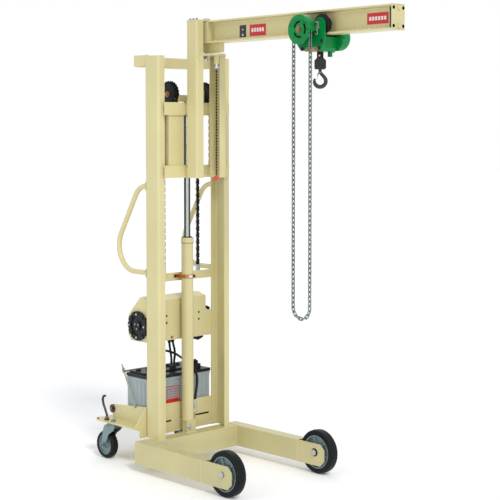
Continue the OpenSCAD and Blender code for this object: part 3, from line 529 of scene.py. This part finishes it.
# ---- Mast ------------------------------------------------------------
# Two cold-formed channel columns, a flat bow behind their tops, a bar across their middle and
# two bent tubes to push by. All are welded on, and the tubes stand on small foot plates.
finish(cream_enamel, "mast_columns", "top_bow", "mid_bar", "push_handles")
handle_feet = (1303, 903)
weld("mast_welds", "root", both_ways([
    [(-184, 98.3, 856), (-184, 98.3, 892)], [(-184, 98.3, 893), (-170, 98.3, 893)],
    [(-203, 98, 1855), (-203, 98, 1901)], [(-197, 98.5, 1903), (-197, 98.5, 1853), (-203, 98.5, 1853)],
] + [[(x, 98.4, z + rise) for x, rise in ((-217, -18), (-187, -18), (-187, 18), (-217, 18), (-217, -18))]
     for z in handle_feet]), radius=1.8)
foot_rings = bmesh.new()
for s in (-1, 1):
    for z in handle_feet:
        add_turned(foot_rings, [(11.8, 4.5), (15.0, 4.5), (12.0, 8.5), (11.8, 8.5)], (s * 202, 98, z),
                   (0, 1, 0), 28)
made_piece("handle_weld_rings", foot_rings, cream_enamel, "root", bevel=0.4)

# ---- Lifting cylinder ------------------------------------------------
# Painted tube with a wiper ring and an oiled, hard-chromed rod whose dark flanks and bright middle are a
# painted reflection.
# A copper-coloured strap, a buckle painted near white as a highlight and a dark bolt tie the tube to the bar
# behind it.
# the chrome's dark base stands in for the dark surroundings it reflects: a painted reflection
rod_chrome = coated(
    "rod_chrome", (0.045, 0.050, 0.052), (0.5, 0.5, 0.5), roughness=0.20, peel=900.0,
    peel_depth=0.03, edge_amount=0.1, dust=0.02, tone=0.10, metallic=0.9)
copper_strap = coated(
    "copper_strap", (0.52, 0.17, 0.055), (0.75, 0.42, 0.22), roughness=0.32, peel=220.0,
    edge_radius=0.001, edge_amount=0.5, dust=0.1, tone=0.2, metallic=0.55)
# a near-white finish for the strap's buckle: a painted highlight standing for the shine of the bright band
buckle_white = coated(
    "buckle_white", (0.80, 0.80, 0.78), (0.95, 0.95, 0.95), roughness=0.25, dust=0.05,
    tone=0.05, metallic=0.2)
finish(cream_enamel, "cylinder_tube", "crosshead")
finish(copper_strap, "cylinder_clamps")
# painted reflection on the polished chrome: a bright streak down the middle of the rod, where it faces the
# view, between dark flanks
rod_tree = rod_chrome.node_tree
rod_colour = rod_tree.nodes["Principled BSDF"].inputs["Base Color"]
rod_dark = rod_colour.links[0].from_socket
rod_reflection_share = ramp(rod_tree, step(rod_tree, "ShaderNodeLayerWeight").outputs["Facing"], 0.04, 0.22)
rod_tree.links.new(blend_colour(rod_tree, rod_reflection_share, (0.46, 0.50, 0.48, 1), rod_dark), rod_colour)
finish(rod_chrome, "piston_rod")
tube_axis = (0, 58, 0)
wiper = bmesh.new()
add_turned(wiper, [(15.4, 1057), (25.0, 1057), (25.0, 1060.5), (21.0, 1063), (15.4, 1063)], tube_axis,
           (0, 0, 1), 40)
add_turned(wiper, band(27.8, 30.6, 1033.5, 1035), tube_axis, (0, 0, 1), 48)
made_piece("rod_wiper", wiper, tyre_rubber, "root", bevel=0.4)
buckle = bmesh.new()
add_turned(buckle, band(31.5, 34.0, 872.5, 882.5), tube_axis, (0, 0, 1), 10, -118, 34)
add_turned(buckle, band(33.5, 35.4, 875.0, 880.0), tube_axis, (0, 0, 1), 8, -112, 18)
made_piece("strap_buckle", buckle, buckle_white, "root")
bolts("strap_bolt", "root", dark_bolt, [((15.5, 29.5, 877.5), (0.45, -0.89, 0))], 10, 7)
bolts("strap_ear_bolts", "root", dark_bolt, pair((42, 94, 877.5), (0, -1, 0)), 8, 5)
weld("cylinder_welds", "root", [
    [(x + radius * math.cos(a / parts), y + radius * math.sin(a / parts), z) for a in range(count)]
    for x, y, z, radius, parts, count in ((0, 58, 197.5, 28.5, 10, 64), (67, 85, 213, 9.5, 8, 51))
], radius=1.6)

# ---- Lifting chains --------------------------------------------------
# Oiled black leaf chains: wide and narrow links riveted in turn. Zinc anchors hold them at the middle bar.
oiled_black = coated(
    "oiled_black", (0.008, 0.008, 0.009), (0.22, 0.21, 0.19), roughness=0.33, peel=200.0,
    peel_depth=0.2, edge_radius=0.0008, edge_amount=0.3, dust=0.03, tone=0.3, shine=0.2)
rivet_steel = coated(
    "rivet_steel", (0.42, 0.42, 0.40), (0.7, 0.7, 0.7), roughness=0.35, edge_amount=0.3,
    dust=0.1, tone=0.2, metallic=0.9)
copper_nut = coated(
    "copper_nut", (0.50, 0.24, 0.12), (0.75, 0.50, 0.34), roughness=0.34, peel=220.0,
    edge_radius=0.0008, edge_amount=0.5, dust=0.1, tone=0.2, metallic=0.8)
finish(oiled_black, "chain_arcs", "chain_sheaves")
finish(zinc_plate, "chain_anchors")
chain_x = 105
sheave_y, sheave_z = 58, 1724
strand_end = 5


def strand_copy(name, node, material):
    """A merged copy of a strand's mesh in the frame, with the given material."""
    shape = bmesh.new()
    shape.from_mesh(nodes[node].data)
    shape.transform(nodes[node].matrix_world)
    bmesh.ops.remove_doubles(shape, verts=shape.verts, dist=0.00002)
    mesh = bpy.data.meshes.new(name)
    shape.to_mesh(mesh)
    shape.free()
    mesh.materials.clear()
    mesh.materials.append(material)
    return placed(name, mesh)


def free_rivets(name, y, bottom, top):
    """Rivet heads on both faces of both strands, at the chain's own pitch."""
    links = 2 * round((top - bottom) / 32)
    pitch = (top - bottom - 2 * strand_end) / links
    places = [((s * chain_x + face * 8.0, y, bottom + strand_end + i * pitch), (face, 0, 0))
              for s in (-1, 1) for face in (-1, 1) for i in range(1, links)]
    return bolts(name, None, rivet_steel, places, 5.6, 1.4, sides=10, washer=0.3)


def circle(x, y, z, radius, angles):
    """Points on a circle about a line along X, one for each angle in degrees."""
    turns = [math.radians(a) for a in angles]
    return [(x, y + radius * math.cos(a), z + radius * math.sin(a)) for a in turns]


for name, node, y, bottom, top, lower, upper in (
        ("rear_strands", "rear_chains", 104, 921, sheave_z, "root", "rod"),
        ("front_strands", "front_chains", 12, 1399, sheave_z, "carriage", "rod")):
    strands = strand_copy(name, node, oiled_black)
    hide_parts(node)
    for piece in (strands, free_rivets(name + "_rivets", y, bottom, top)):
        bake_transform(piece)
bolts("sheave_nuts", "rod", copper_nut, pair((119, sheave_y, sheave_z), (1, 0, 0)), 17, 8, washer=2)
chain_sides = [(s * chain_x, t) for s in (-1, 1) for t in (-1, 1)]
bolts("sheave_pins", "rod", oiled_black,
      [(point, (t, 0, 0)) for x, t in chain_sides
       for point in circle(x + t * 6, sheave_y, sheave_z, 54, range(0, 181, 15))],
      11, 3.5, sides=14, washer=0.4)
bolts("sheave_screws", "rod", copper_nut,
      [(point, (t, 0, 0)) for x, t in chain_sides
       for point in circle(x + t * 8, sheave_y, sheave_z, 27, range(30, 360, 60))],
      6, 2.5, sides=10, washer=0.3)

# ---- Carriage and jib ------------------------------------------------
# Cross plates, stiles, posts and the I-beam are welded plate and section in the same enamel. The
# hinge pin stands under a lug with small bolts, and a ball chain pulls the locking plunger.
finish(cream_enamel, "cross_plates", "carriage_sides", "jib_posts", "jib_beam", "jib_root")
finish(zinc_plate, "carriage_rollers", "hinge_pin", "lock_plunger")
red_plastic = coated(
    "red_plastic", (0.70, 0.028, 0.030), (0.85, 0.20, 0.18), roughness=0.25, peel_depth=0.03,
    edge_amount=0.2, dust=0.0, tone=0.05, coat=0.4)
finish(red_plastic, "pull_knob")
bolts("lug_bolts", "carriage", dark_bolt, [((-78, y, 2058), (0, 0, 1)) for y in (-102, -80, -58)], 9, 5)
bolts("pin_cap", "carriage", zinc_plate, [((0, -80, 1882), (0, 0, -1))], 14, 5)
weld("carriage_welds", "carriage", both_ways(
    [[(-168.2, -12, 1399), (-168.2, -12, 1628)]]
    + [[(-57, -55, z), (-57, -21, z)] for z in (1351, 1390, 1637, 1676)])
    + [[(-90, -112, 2052), (-90, -46, 2052)], [(-52, -186, 1896), (-90, -115, 1896)]], radius=1.7)

# the pull chain: balls at an even pitch on a thin wire
ball_shape, ball_in, ball_out = new_shape("ball_chain", {
    "Ball Radius": 0.0016, "Pitch": 0.0052, "Link Radius": 0.0005})
ball_line = step(ball_shape, "GeometryNodeMeshToCurve", {"Mesh": ball_in["Geometry"]})
ball_steps = step(ball_shape, "GeometryNodeResampleCurve", {"Curve": ball_line, "Length": ball_in["Pitch"]},
                  mode="LENGTH")
ball_bead = step(ball_shape, "GeometryNodeMeshIcoSphere", {
    "Radius": ball_in["Ball Radius"], "Subdivisions": 2})
ball_row = step(ball_shape, "GeometryNodeInstanceOnPoints", {"Points": ball_steps, "Instance": ball_bead})
ball_wire = swept(ball_shape, ball_steps, 6, ball_in["Link Radius"])
ball_both = step(ball_shape, "GeometryNodeJoinGeometry")
for part in (ball_wire, ball_row):
    ball_shape.links.new(part.outputs[0], ball_both.inputs[0])
close_shape(ball_shape, ball_both, ball_in, ball_out)
plunger_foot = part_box("lock_plunger")[0][2] * 1000
pull_run = runs_of("pull_beads_run", [[(0, -148, 1351), (0, -148, plunger_foot)]])
pull_beads = grown("pull_beads", pull_run, ball_shape, "lock", Ball_Radius=0.0046, Pitch=0.0130,
                   Link_Radius=0.0014, Finish=oiled_black)
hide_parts("pull_chain")

# rolled root fillets of the I-beam, left and right of the web
half_web, fillet = 2.5, 7
fillets = bmesh.new()
for s in (-1, 1):
    for z, up in ((1960, 1), (2046, -1)):
        outline = [(s * 2.0, -130.5, z - up * 0.5), (s * 9.5, -130.5, z - up * 0.5)]
        for a in (math.radians(turn) for turn in (0, 22.5, 45, 67.5, 90)):
            outline.append((s * (half_web + fillet - fillet * math.sin(a)), -130.5,
                            z + up * (fillet - fillet * math.cos(a))))
        add_prism(fillets, outline, (0, -1086, 0))
made_piece("beam_fillets", fillets, cream_enamel, "jib", bevel=0)
weld("jib_welds", "jib", [
    [(-37.5, -1216.8, 1953), (37.5, -1216.8, 1953)], [(-37, -1216.8, 2052.5), (37, -1216.8, 2052.5)],
    [(-36.3, -131, 1955), (-36.3, -131, 2046)], [(36.3, -131, 1955), (36.3, -131, 2046)],
    [(-12.8, -186, 1953), (-12.8, -131, 1953)], [(12.8, -186, 1953), (12.8, -131, 1953)],
], radius=1.8)
bolts("end_plate_bolts", "jib", dark_bolt,
      [((x, -1217, z), (0, 1, 0)) for x in (-29, 29) for z in (1967, 2039)], 10, 5)

# plain enamelled plates on the web: two red ones with a plain white mark, and a small black one
sign_red = coated(
    "sign_red", (0.60, 0.012, 0.016), (0.70, 0.10, 0.10), roughness=0.28, peel_depth=0.05,
    edge_amount=0.2, dust=0.03, tone=0.05)
sign_white = coated(
    "sign_white", (0.80, 0.79, 0.76), (0.85, 0.85, 0.82), roughness=0.35, peel_depth=0.05,
    edge_amount=0.1, dust=0.03, tone=0.04)
sign_black = coated(
    "sign_black", (0.018, 0.017, 0.016), (0.10, 0.10, 0.10), roughness=0.30, peel_depth=0.05,
    edge_amount=0.3, dust=0.05, tone=0.1)


def sign(name, material, y, z, marks):
    """A thin plate on the web's left face, from its y and z ranges, with raised marks in white."""
    made_piece(name, boxes(((-half_web - 1.0, y[0], z[0]), (-half_web + 0.3, y[1], z[1]))), material, "jib",
               bevel=0.4)
    ink = boxes(*(((-half_web - 1.25, y0, z0), (-half_web - 0.6, y1, z1)) for y0, y1, z0, z1 in marks))
    made_piece(name + "_marks", ink, sign_white, "jib", bevel=0.1, segments=1)


def bars(y0, y1, z0, z1, rows, columns):
    """Plain bars that stand for a line of writing that isn't there."""
    width = (y1 - y0) / columns
    height = (z1 - z0) / rows
    return [(y0 + i * width + 0.14 * width, y0 + (i + 0.86) * width, z0 + j * height + 0.2 * height,
             z0 + (j + 0.8) * height) for i in range(columns) for j in range(rows)]


sign("post_end_plate", sign_black, (-347, -305), (1970, 2023),
     [(-330, -322, 1976, 1984), (-330, -322, 2001, 2006)])
sign("inner_sign", sign_red, (-472, -370), (1972, 2022), bars(-462, -380, 1984, 2012, 1, 5))
sign("outer_sign", sign_red, (-1168, -1056), (1981, 2026), bars(-1159, -1065, 1991, 2016, 1, 6))
# a black block across the web near its end: painted shadow where the gap at the beam's end shows dark
made_piece("beam_stop", boxes(((-5, -1183, 1962), (5, -1175, 2044))), sign_black, "jib", bevel=0.6)

# ---- Trolley and hoist -----------------------------------------------
# Green sprayed plates and castings under the beam. The hand wheel turns on a shaft with a brass
# nut inside its slotted cover; track wheels, block and hook are blackened.
green_enamel = coated(
    "green_enamel", (0.0005, 0.235, 0.052), (0.02, 0.42, 0.14), roughness=0.25, peel=260.0,
    peel_depth=0.25, edge_radius=0.002, edge_amount=0.5, dust=0.02, dust_up_to=0.2, tone=0.28, shine=0.2)
forged_dark = coated(
    "forged_dark", (0.020, 0.028, 0.030), (0.42, 0.46, 0.45), roughness=0.22, peel=120.0,
    peel_depth=0.45, edge_radius=0.0035, edge_amount=0.45, dust=0.03, tone=0.35, metallic=0.35, coat=0.35)
brass_nut = coated(
    "brass_nut", (0.33, 0.19, 0.085), (0.66, 0.48, 0.28), roughness=0.30, peel=220.0,
    edge_radius=0.0012, edge_amount=0.6, dust=0.05, tone=0.3, metallic=0.7)
guide_metal = coated(
    "guide_metal", (0.50, 0.55, 0.45), (0.75, 0.77, 0.70), roughness=0.34, peel=200.0,
    dust=0.08, tone=0.2, metallic=0.6)
tan_plate = coated(
    "tan_plate", (0.50, 0.33, 0.15), (0.72, 0.58, 0.38), roughness=0.4, peel=200.0,
    dust=0.08, tone=0.25, metallic=0.35)
finish(green_enamel, "trolley_plates", "hoist_body", "gear_case", "wheel_cover")
# the hand wheel is black so that the slots in its cover show dark: painted shade inside the cover
finish(oiled_black, "hand_wheel", "hook_block", "left_front_roller", "left_rear_roller",
       "right_front_roller", "right_rear_roller")
finish(forged_dark, "hook", "hook_latch")
hoist_y, case_z = -794, 1945
hand_x, hand_y, hand_z = -94, -779, 1973
bolts("wheel_nut", "trolley", brass_nut, [((-112.5, hand_y, hand_z), (-1, 0, 0))], 19, 7, washer=3)
bolts("wheel_pin", "trolley", dark_bolt, [((-119.5, hand_y, hand_z), (-1, 0, 0))], 8, 1.6,
      sides=12, washer=0.3)
bolts("cover_bolts", "trolley", dark_bolt,
      [(point, (-1, 0, 0)) for point in circle(-114, hand_y, hand_z, 52, (20, 150, 183))], 7, 3.2)
bolts("plate_bolts", "trolley", dark_bolt,
      [((s * 58, hoist_y + y, z), (s, 0, 0)) for s in (-1, 1)
       for y, z in ((-62, 1925), (62, 1925), (-48, 1897), (48, 1897))], 11, 6)
bolts("case_bolts", "trolley", dark_bolt,
      [(point, (1, 0, 0)) for point in circle(82, hoist_y, case_z, 55, range(180, 361, 45))], 8, 5)
bolts("case_plug", "trolley", brass_nut, [((146, hoist_y, case_z), (1, 0, 0))], 15, 5)
cover_edge = [(44.5, -113.8), (47.0, -115.6), (57.5, -115.6), (60.5, -113.8), (60.5, -113.0), (44.5, -113.0)]
made_piece("cover_ring", add_turned(bmesh.new(), cover_edge, (0, hand_y, hand_z), (1, 0, 0), 72),
           green_enamel, "trolley", bevel=0.6)
made_piece("chain_guide", boxes(((-72, hoist_y - 52, 1950), (-69.5, hoist_y - 38, 2004)),
                                ((-72, hoist_y - 52, 1976), (-58, hoist_y - 49.5, 2004))),
           guide_metal, "trolley", bevel=0.6)
bolts("guide_bolts", "trolley", dark_bolt, [((-72, hoist_y - 45, z), (-1, 0, 0)) for z in (1960, 1994)], 6, 3)
strap_outline = [(-61, hoist_y + y, z) for y, z in (
    (-46, 1892), (-30, 1883), (22, 1883), (30, 1892), (20, 1901), (-40, 1901))]
made_piece("lower_strap", add_prism(bmesh.new(), strap_outline, (3.2, 0, 0)), tan_plate, "trolley", bevel=0.6)
bolts("strap_rivets", "trolley", brass_nut, [((-61, hoist_y + y, 1892), (-1, 0, 0)) for y in (-30, 14)], 8, 3,
      sides=14)
bolts("block_rivet", "hook", copper_nut,
      [((-15 * 0.6931 - 6, hoist_y - 16 * 0.7209, 1868), (-0.69, -0.72, 0))], 5, 2, sides=12, washer=0.4)

# the hand chain: round welded links, every second one turned, in one endless loop
link_shape, link_in, link_out = new_shape("welded_links", {
    "Count": 102, "Wire": 0.0023, "Bend": 0.0068, "Reach": 0.0086})
link_line = step(link_shape, "GeometryNodeMeshToCurve", {"Mesh": link_in["Geometry"]})
link_steps = step(link_shape, "GeometryNodeResampleCurve", {"Curve": link_line, "Count": link_in["Count"]},
                  mode="COUNT")
link_bend = step(link_shape, "GeometryNodeCurvePrimitiveCircle", {
    "Resolution": 18, "Radius": link_in["Bend"]})
link_where = step(link_shape, "ShaderNodeSeparateXYZ", {0: step(link_shape, "GeometryNodeInputPosition")})
link_push = maths(link_shape, "MULTIPLY", maths(link_shape, "SIGN", link_where), link_in["Reach"])
link_offset = step(link_shape, "ShaderNodeCombineXYZ", {"X": link_push})
link_long = step(link_shape, "GeometryNodeSetPosition", {"Geometry": link_bend, "Offset": link_offset})
link_skin = swept(link_shape, link_long, 8, link_in["Wire"], capped=False)
link_along = step(link_shape, "GeometryNodeInputTangent")
link_odd = maths(link_shape, "MODULO", step(link_shape, "GeometryNodeInputIndex"), 2.0)
link_cross = step(link_shape, "ShaderNodeVectorMath", {0: link_along, 1: (1, 0, 0)},
                  operation="CROSS_PRODUCT")
link_normal = step(link_shape, "ShaderNodeMix", {0: link_odd, 4: (1, 0, 0), 5: link_cross},
                   data_type="VECTOR")
link_pose = step(link_shape, "FunctionNodeAxesToRotation", {0: link_along, 1: link_normal.outputs[1]},
                 primary_axis="X", secondary_axis="Z")
link_row = step(link_shape, "GeometryNodeInstanceOnPoints", {
    "Points": link_steps, "Instance": link_skin, "Rotation": link_pose})
close_shape(link_shape, link_row, link_in, link_out)
# the dark base is painted shade on the zinc links, and the light edge colour a painted highlight along them
chain_steel = coated(
    "chain_steel", (0.20, 0.24, 0.22), (0.72, 0.76, 0.72), roughness=0.24, peel=110.0,
    peel_depth=0.3, edge_radius=0.003, edge_amount=0.5, dust=0.04, tone=0.7, metallic=0.75)
chain_turn, chain_foot = 48, 818
loop = circle(hand_x, hand_y, hand_z, chain_turn, range(0, 181, 6))
loop += circle(hand_x, hand_y, chain_foot, chain_turn, range(180, 361, 6))
loop_mesh = bpy.data.meshes.new("hand_chain_loop")
loop_edges = [(i, (i + 1) % len(loop)) for i in range(len(loop))]
loop_mesh.from_pydata([mast_point(*p) for p in loop], loop_edges, [])
hand_links = grown("hand_chain_links", loop_mesh, link_shape, "trolley", Count=132, Wire=0.0028,
                   Bend=0.0066, Reach=0.0065, Finish=chain_steel)
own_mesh(hand_links)
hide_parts("hand_chain")

# ---- Power unit ------------------------------------------------------
# A folded steel cover in cream over the pump, its black motor at one end. The cover is held by
# pairs of small screws, and a black release lever stands behind its right shoulder.
motor_black = coated(
    "motor_black", (0.008, 0.009, 0.010), (0.06, 0.06, 0.06), roughness=0.34, peel=200.0,
    peel_depth=0.3, dust=0.05, tone=0.2, shine=0.25)
finish(cream_enamel, "power_cover")
finish(motor_black, "pump_motor")
motor_y, motor_z = 166.5, 651
cover_y = 98
bolts("cover_screws", "root", dark_bolt,
      [((x, cover_y, z), (0, -1, 0)) for x in (-94, 106) for z in (693, 660)], 7, 3, sides=14, washer=0.5)
bolts("cover_plug", "root", brass_nut, [((-62, cover_y, 590), (0, -1, 0))], 9, 4)
bolts("motor_screws", "root", zinc_plate,
      [(point, (-1, 0, 0)) for point in circle(-221, motor_y, motor_z, 54, range(0, 360, 90))],
      7, 3, sides=14, washer=0.4)
bolts("motor_cap_screws", "root", zinc_plate,
      [(point, (-1, 0, 0)) for point in circle(-219, motor_y, motor_z, 14, range(30, 360, 120))],
      5, 2, sides=12, washer=0.3)
made_piece("cover_folds", boxes(((-12, 97.4, 580), (-9.5, 98.2, 768)),
                                ((-204, 97.4, 579), (150, 98.2, 581.5))),
           cream_enamel, "root", bevel=0.3, segments=1)
lever = add_prism(bmesh.new(), [(150, 106, 724), (183, 106, 711), (150, 106, 700)], (0, 9, 0))
add_turned(lever, [(0.01, 0), (6, 0), (7, 3), (7, 12), (5, 14), (0.01, 14)], (178, 118, 704), (0, -1, 0), 20)
made_piece("release_lever", lever, motor_black, "root", bevel=1.2)
foot_outline = [(x, 108, z) for x, z in ((84, 577.5), (148, 577.5), (140, 566), (112, 556), (90, 566))]
made_piece("pump_foot", add_prism(bmesh.new(), foot_outline, (0, 34, 0)), motor_black, "root", bevel=1.5)

# ---- Battery and tray ------------------------------------------------
# A ribbed grey case under a black lid with caps, in a welded tray. A threaded rod on each side
# and a round bar over the lid hold it down. The label is five plain red lines and a block.
battery_grey = coated(
    "battery_grey", (0.33, 0.385, 0.405), (0.62, 0.64, 0.66), roughness=0.45, peel=300.0,
    peel_depth=0.1, dust=0.22, dust_up_to=0.5, tone=0.10)
battery_black = coated(
    "battery_black", (0.010, 0.011, 0.012), (0.08, 0.08, 0.08), roughness=0.40, peel=300.0,
    peel_depth=0.15, dust=0.12, dust_up_to=0.6, tone=0.2, shine=0.28)
clamp_zinc = coated(
    "clamp_zinc", (0.26, 0.27, 0.20), (0.62, 0.62, 0.54), roughness=0.34, peel=160.0,
    dust=0.2, tone=0.3, metallic=0.5)
brake_steel = coated(
    "brake_steel", (0.045, 0.038, 0.032), (0.42, 0.33, 0.24), roughness=0.36, peel=160.0,
    edge_radius=0.003, edge_amount=0.6, dust=0.2, dust_up_to=0.3, tone=0.35, metallic=0.5)
finish(cream_enamel, "battery_tray")
finish(battery_grey, "battery_case")
finish(battery_black, "battery_lid")
finish(clamp_zinc, "battery_clamp")
finish(brake_steel, "brake_pedals")
label_lines = ((352, 355), (340, 342), (328, 330), (316, 318), (304, 306), (278, 296))
made_piece("battery_label", boxes(*(((-100, 107.2, low), (-8, 108.3, high)) for low, high in label_lines)),
           sign_red, "root", bevel=0.15, segments=1)
bolts("rod_nuts", "root", clamp_zinc, pair((198, 293, 428), (0, 0.45, 0.89)), 13, 8, washer=1.5)
bolts("terminal_nuts", "root", dark_bolt,
      [(point, (0, 0, 1)) for point in ((-14, 160, 441), (10, 168, 441), (119, 141, 454))], 11, 5)
# thin black plates on the tray front where its two slots are: painted shade for their dark openings
made_piece("tray_slots", boxes(((-100, 97.3, 191), (-68, 98.2, 199)), ((84, 97.3, 196), (168, 98.2, 204))),
           motor_black, "root", bevel=0.8)
made_piece("tray_skirt", boxes(((-181, 98.3, 140.5), (181, 102.6, 178))),
           cream_enamel, "root", bevel=0.4, segments=1)
weld("tray_welds", "root", both_ways([
    [(-193, 104, 181), (-193, 384, 181)], [(-255, 98, 180.5), (-194, 98, 186)],
    [(-188, 104, 181), (-188, 384, 181)],
]) + [[(-13, 97.8, 142), (-13, 97.8, 278)], [(-192, 97.8, 142), (192, 97.8, 142)]], radius=1.6)
bolts("brake_clamps", "root", brass_nut, pair((238, 372, 189), (0, 0, 1)), 17, 8, washer=1.5)
bolts("bumper_centres", "root", brass_nut, pair((202, 384, 227), (1, 0, 0)), 10, 3, washer=0.8)
bolts("shelf_end_bolts", "root", copper_nut, pair((250, 425, 180), (0, 0, 1)), 11, 6, washer=1.4)

# ---- Battery cables and hose -----------------------------------------
# Three rubber battery cables and a hydraulic hose leave the cover's underside through tapered
# sleeves. They hang in one bend to the lid's terminals, and to the elbow at the cylinder's foot.
cable_black = coated(
    "cable_black", (0.007, 0.007, 0.008), (0.03, 0.03, 0.03), roughness=0.36, peel=500.0,
    peel_depth=0.1, dust=0.05, tone=0.1, shine=0.3)
routes = {
    "left_battery_cable": (5.5, [
        (-35, 150, 577), (-35, 150, 562), (-33, 150, 544), (-29, 151, 525), (-25, 152, 506), (-20, 154, 487),
        (-16, 157, 469), (-14, 160, 456), (-14, 160, 441)]),
    "middle_battery_cable": (5.5, [
        (-14, 150, 577), (-14, 150, 562), (-9, 151, 544), (-2, 153, 527), (4, 156, 510), (8, 160, 492),
        (10, 165, 474), (10, 168, 458), (10, 168, 441)]),
    "right_battery_cable": (5.5, [
        (-122, 130, 577), (-122, 130, 561), (-116, 130, 546), (-101, 130, 533), (-79, 130, 525),
        (-55, 130, 518), (-30, 130, 509), (-5, 130, 497), (20, 131, 481), (44, 133, 466), (68, 136, 455),
        (84, 140, 448), (96, 141.5, 446), (110, 141.5, 446)]),
    "hydraulic_hose": (6.0, [
        (50, 110, 577), (50, 110, 560), (50, 108, 535), (50, 104, 510), (51, 99, 485), (55, 94, 460),
        (64, 89, 435), (75, 86, 410), (82, 85, 385), (83, 85, 358), (79, 85, 330), (73, 85, 302),
        (69, 85, 275), (67, 85, 252), (67, 85, 236)]),
}


def smooth_route(points, parts=6):
    """The route with more points on a curve that passes through every one of them."""
    p = [points[0]] + points + [points[-1]]
    out = []
    for i in range(1, len(p) - 2):
        for k in range(parts):
            t = k / parts
            out.append([0.5 * (2 * b + (c - a) * t + (2 * a - 5 * b + 4 * c - d) * t * t
                               + (3 * b - a - 3 * c + d) * t ** 3)
                        for a, b, c, d in zip(p[i - 1], p[i], p[i + 1], p[i + 2])])
    return out + [points[-1]]


for name, (radius, route) in routes.items():
    line = [mast_point(*p) for p in smooth_route(route)]
    curve = bpy.data.curves.new(name + "_line", "CURVE")
    curve.dimensions = "3D"
    spline = curve.splines.new("POLY")
    spline.points.add(len(line) - 1)
    for point, place in zip(spline.points, line):
        point.co = (*place, 1)
    curve.bevel_depth = radius / 1000
    curve.bevel_resolution = 4
    curve.use_fill_caps = True
    curve.materials.append(cable_black)
    lead = placed(name + "_lead", curve)
    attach(lead, "root")
    sleeve = [(radius - 0.3, 0), (radius + 5.5, 0), (radius + 5.0, 4), (radius + 1.4, 22), (radius - 0.3, 24)]
    made_piece(name + "_sleeve", add_turned(bmesh.new(), sleeve, route[0], (0, 0, -1), 24),
               tyre_rubber, "root", bevel=0.4)
    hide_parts(name)
ferrule = [(5.8, 0), (7.6, 0), (8.6, 4), (8.6, 26), (7.6, 30), (7.6, 44), (5.8, 44)]
made_piece("hose_ferrule", add_turned(bmesh.new(), ferrule, (67, 85, 236), (0, 0, 1), 28),
           zinc_plate, "root", bevel=0.4)
bolts("hose_nut", "root", zinc_plate, [((67, 85, 222), (0, 0, 1))], 19, 14, washer=0.4)

# ---- Casters ---------------------------------------------------------
# Zinc-plated pressed forks that swivel on a kingpin under the shelf, with rubber tyres on grey
# centres. A brake shoe on a bent arm stands ahead of each fork.
caster_zinc = coated(
    "caster_zinc", (0.20, 0.29, 0.29), (0.66, 0.72, 0.70), roughness=0.28, peel=120.0,
    peel_depth=0.2, edge_radius=0.0035, edge_amount=0.55, dust=0.12, dust_up_to=0.20, tone=0.35,
    metallic=0.65)
finish(caster_zinc, "left_fork", "right_fork")
caster_x, cap_x = 240, 275
axle_cap = [(0.01, 0), (5, 0), (8.5, -1.5), (9, -5), (0.01, -5)]
for side, s in both_sides:
    finish(tyre_rubber, f"{side}_caster_tyre")
    finish(cast_grey, f"{side}_caster_hub")
    made_piece(f"{side}_axle_cap", add_turned(bmesh.new(), axle_cap, (s * cap_x, 366, 65), (s, 0, 0), 24),
               dark_bolt, f"{side}_caster", bevel=0.3, segments=1)
    x = s * caster_x
    made_piece(f"{side}_brake_shoe", boxes(((x - 15, 322, 134), (x + 15, 352, 138)),
                                           ((x - 12, 300, 138), (x + 12, 345, 143))),
               motor_black, f"{side}_caster", bevel=1.2)
